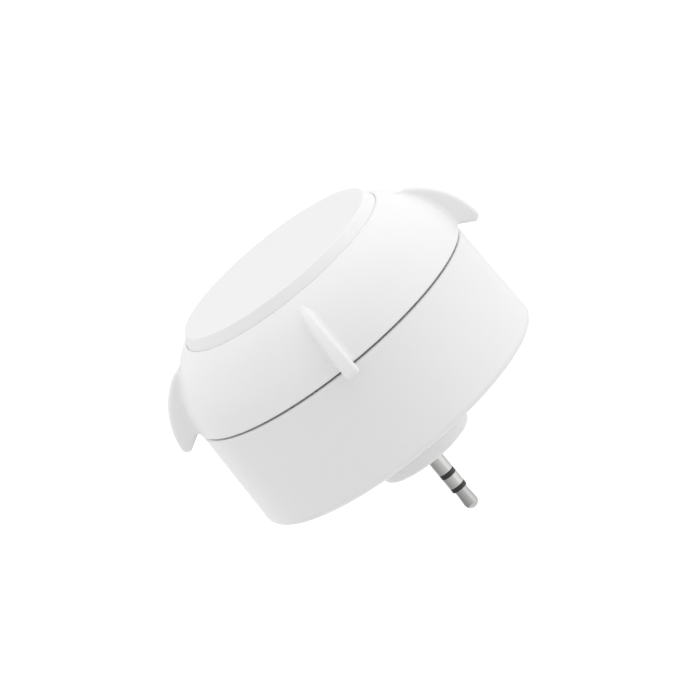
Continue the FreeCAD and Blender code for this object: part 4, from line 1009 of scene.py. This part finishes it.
def make_screen(studio):
    """A curved screen of card that shows only in gloss: dark on the front left, bright on the right."""
    material = bpy.data.materials.new("Screen card")
    tree, output = cleared(material, "OutputMaterial")
    glow = put(tree, "Emission")
    parts = axes(tree, put(tree, "TexCoord").outputs["Object"])
    forward = compute(tree, "MULTIPLY", parts["Y"], -1.0)
    turn = compute(tree, "ARCTAN2", parts["X"], forward)
    first, last = SCREEN_TONES[0][0], SCREEN_TONES[-1][0]
    along = put(tree, "MapRange")
    join(tree, turn, along.inputs["Value"])
    along.inputs["From Min"].default_value = math.radians(first)
    along.inputs["From Max"].default_value = math.radians(last)
    ramp = put(tree, "ValToRGB")
    join(tree, along.outputs["Result"], ramp.inputs["Fac"])
    for degrees, _ in SCREEN_TONES[1:-1]:
        ramp.color_ramp.elements.new((degrees - first) / (last - first))
    for stop, (_, tone) in zip(ramp.color_ramp.elements, SCREEN_TONES):
        stop.color = opaque([tone] * 3)
    rise = eased(tree, parts["Z"], SEAM, SEAM + studio.screen_high)
    join(tree, blended(tree, rise, ramp.outputs["Color"], WHITE), glow.inputs["Color"])
    join(tree, glow.outputs[0], output.inputs["Surface"])
    corners = []
    for degrees in range(first, last + SCREEN_STEP, SCREEN_STEP):
        direction = math.radians(min(degrees, last))
        x = math.sin(direction) * studio.screen_radius
        y = -math.cos(direction) * studio.screen_radius
        corners += [(x, y, SEAM - studio.screen_low), (x, y, SEAM + studio.screen_high)]
    faces = [(i, i + 2, i + 3, i + 1) for i in range(0, len(corners) - 2, 2)]
    screen = stage_piece("screen", corners, faces, material)
    screen.visible_camera = False
    screen.visible_diffuse = False
    screen.visible_transmission = False
    screen.visible_volume_scatter = False
    screen.visible_shadow = False


# Width of the camera's sensor, in millimetres
SENSOR_WIDTH = 36.0
# What the camera can see, in metres from it
NEAREST, FARTHEST = 0.05, 60.0


def make_camera(studio):
    """A long lens, as close to the seam's plane as the photograph's, rolled so that the axis slants."""
    data = bpy.data.cameras.new("Camera")
    data.lens = studio.focal_length
    data.sensor_width = SENSOR_WIDTH
    camera = bpy.data.objects.new("Camera", data)
    bpy.context.scene.collection.objects.link(camera)
    turn, rise = studio.camera_azimuth, studio.camera_elevation
    back = Vector((math.sin(turn) * math.cos(rise), -math.cos(turn) * math.cos(rise), math.sin(rise)))
    roll = Quaternion((0.0, 0.0, 1.0), studio.camera_roll)
    facing = (-back).to_track_quat("-Z", "Y") @ roll
    right, up = facing @ Vector((1.0, 0.0, 0.0)), facing @ Vector((0.0, 1.0, 0.0))
    camera.location = SEAM_MIDDLE + back * studio.camera_distance
    aim = SEAM_MIDDLE + right * studio.camera_right - up * studio.camera_down
    camera.rotation_mode = "QUATERNION"
    camera.rotation_quaternion = (aim - camera.location).to_track_quat("-Z", "Y") @ roll
    data.clip_start, data.clip_end = NEAREST, FARTHEST
    bpy.context.scene.camera = camera


# Panel and registration


class SENSOR_PT_panel(bpy.types.Panel):
    """The sensor's operators and settings"""

    bl_idname = "SENSOR_PT_panel"
    bl_label = "Motion sensor"
    bl_space_type = "VIEW_3D"
    bl_region_type = "UI"
    bl_category = "Sensor"

    def draw(self, context):
        for operator in OPERATORS:
            self.layout.operator(operator.bl_idname)
        for settings in (context.scene.sensor_colours, context.scene.sensor_studio):
            box = self.layout.box()
            for name in settings.__annotations__:
                box.prop(settings, name)


OPERATORS = (
    SENSOR_OT_shells,
    SENSOR_OT_lens,
    SENSOR_OT_seals,
    SENSOR_OT_plug,
    SENSOR_OT_board,
    SENSOR_OT_sensors,
    SENSOR_OT_settings,
    SENSOR_OT_stage,
)
CLASSES = (SensorColours, SensorStudio, *OPERATORS, SENSOR_PT_panel)


def register():
    """Add the classes, and the settings to the scene."""
    for each in CLASSES:
        bpy.utils.register_class(each)
    bpy.types.Scene.sensor_colours = bpy.props.PointerProperty(type=SensorColours)
    bpy.types.Scene.sensor_studio = bpy.props.PointerProperty(type=SensorStudio)


def unregister():
    """Take the settings and the classes out again."""
    del bpy.types.Scene.sensor_studio
    del bpy.types.Scene.sensor_colours
    for each in reversed(CLASSES):
        bpy.utils.unregister_class(each)


def main():
    """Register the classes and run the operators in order."""
    register()
    for operator in OPERATORS:
        group, name = operator.bl_idname.split(".")
        getattr(getattr(bpy.ops, group), name)()


if __name__ == "__main__":
    main()
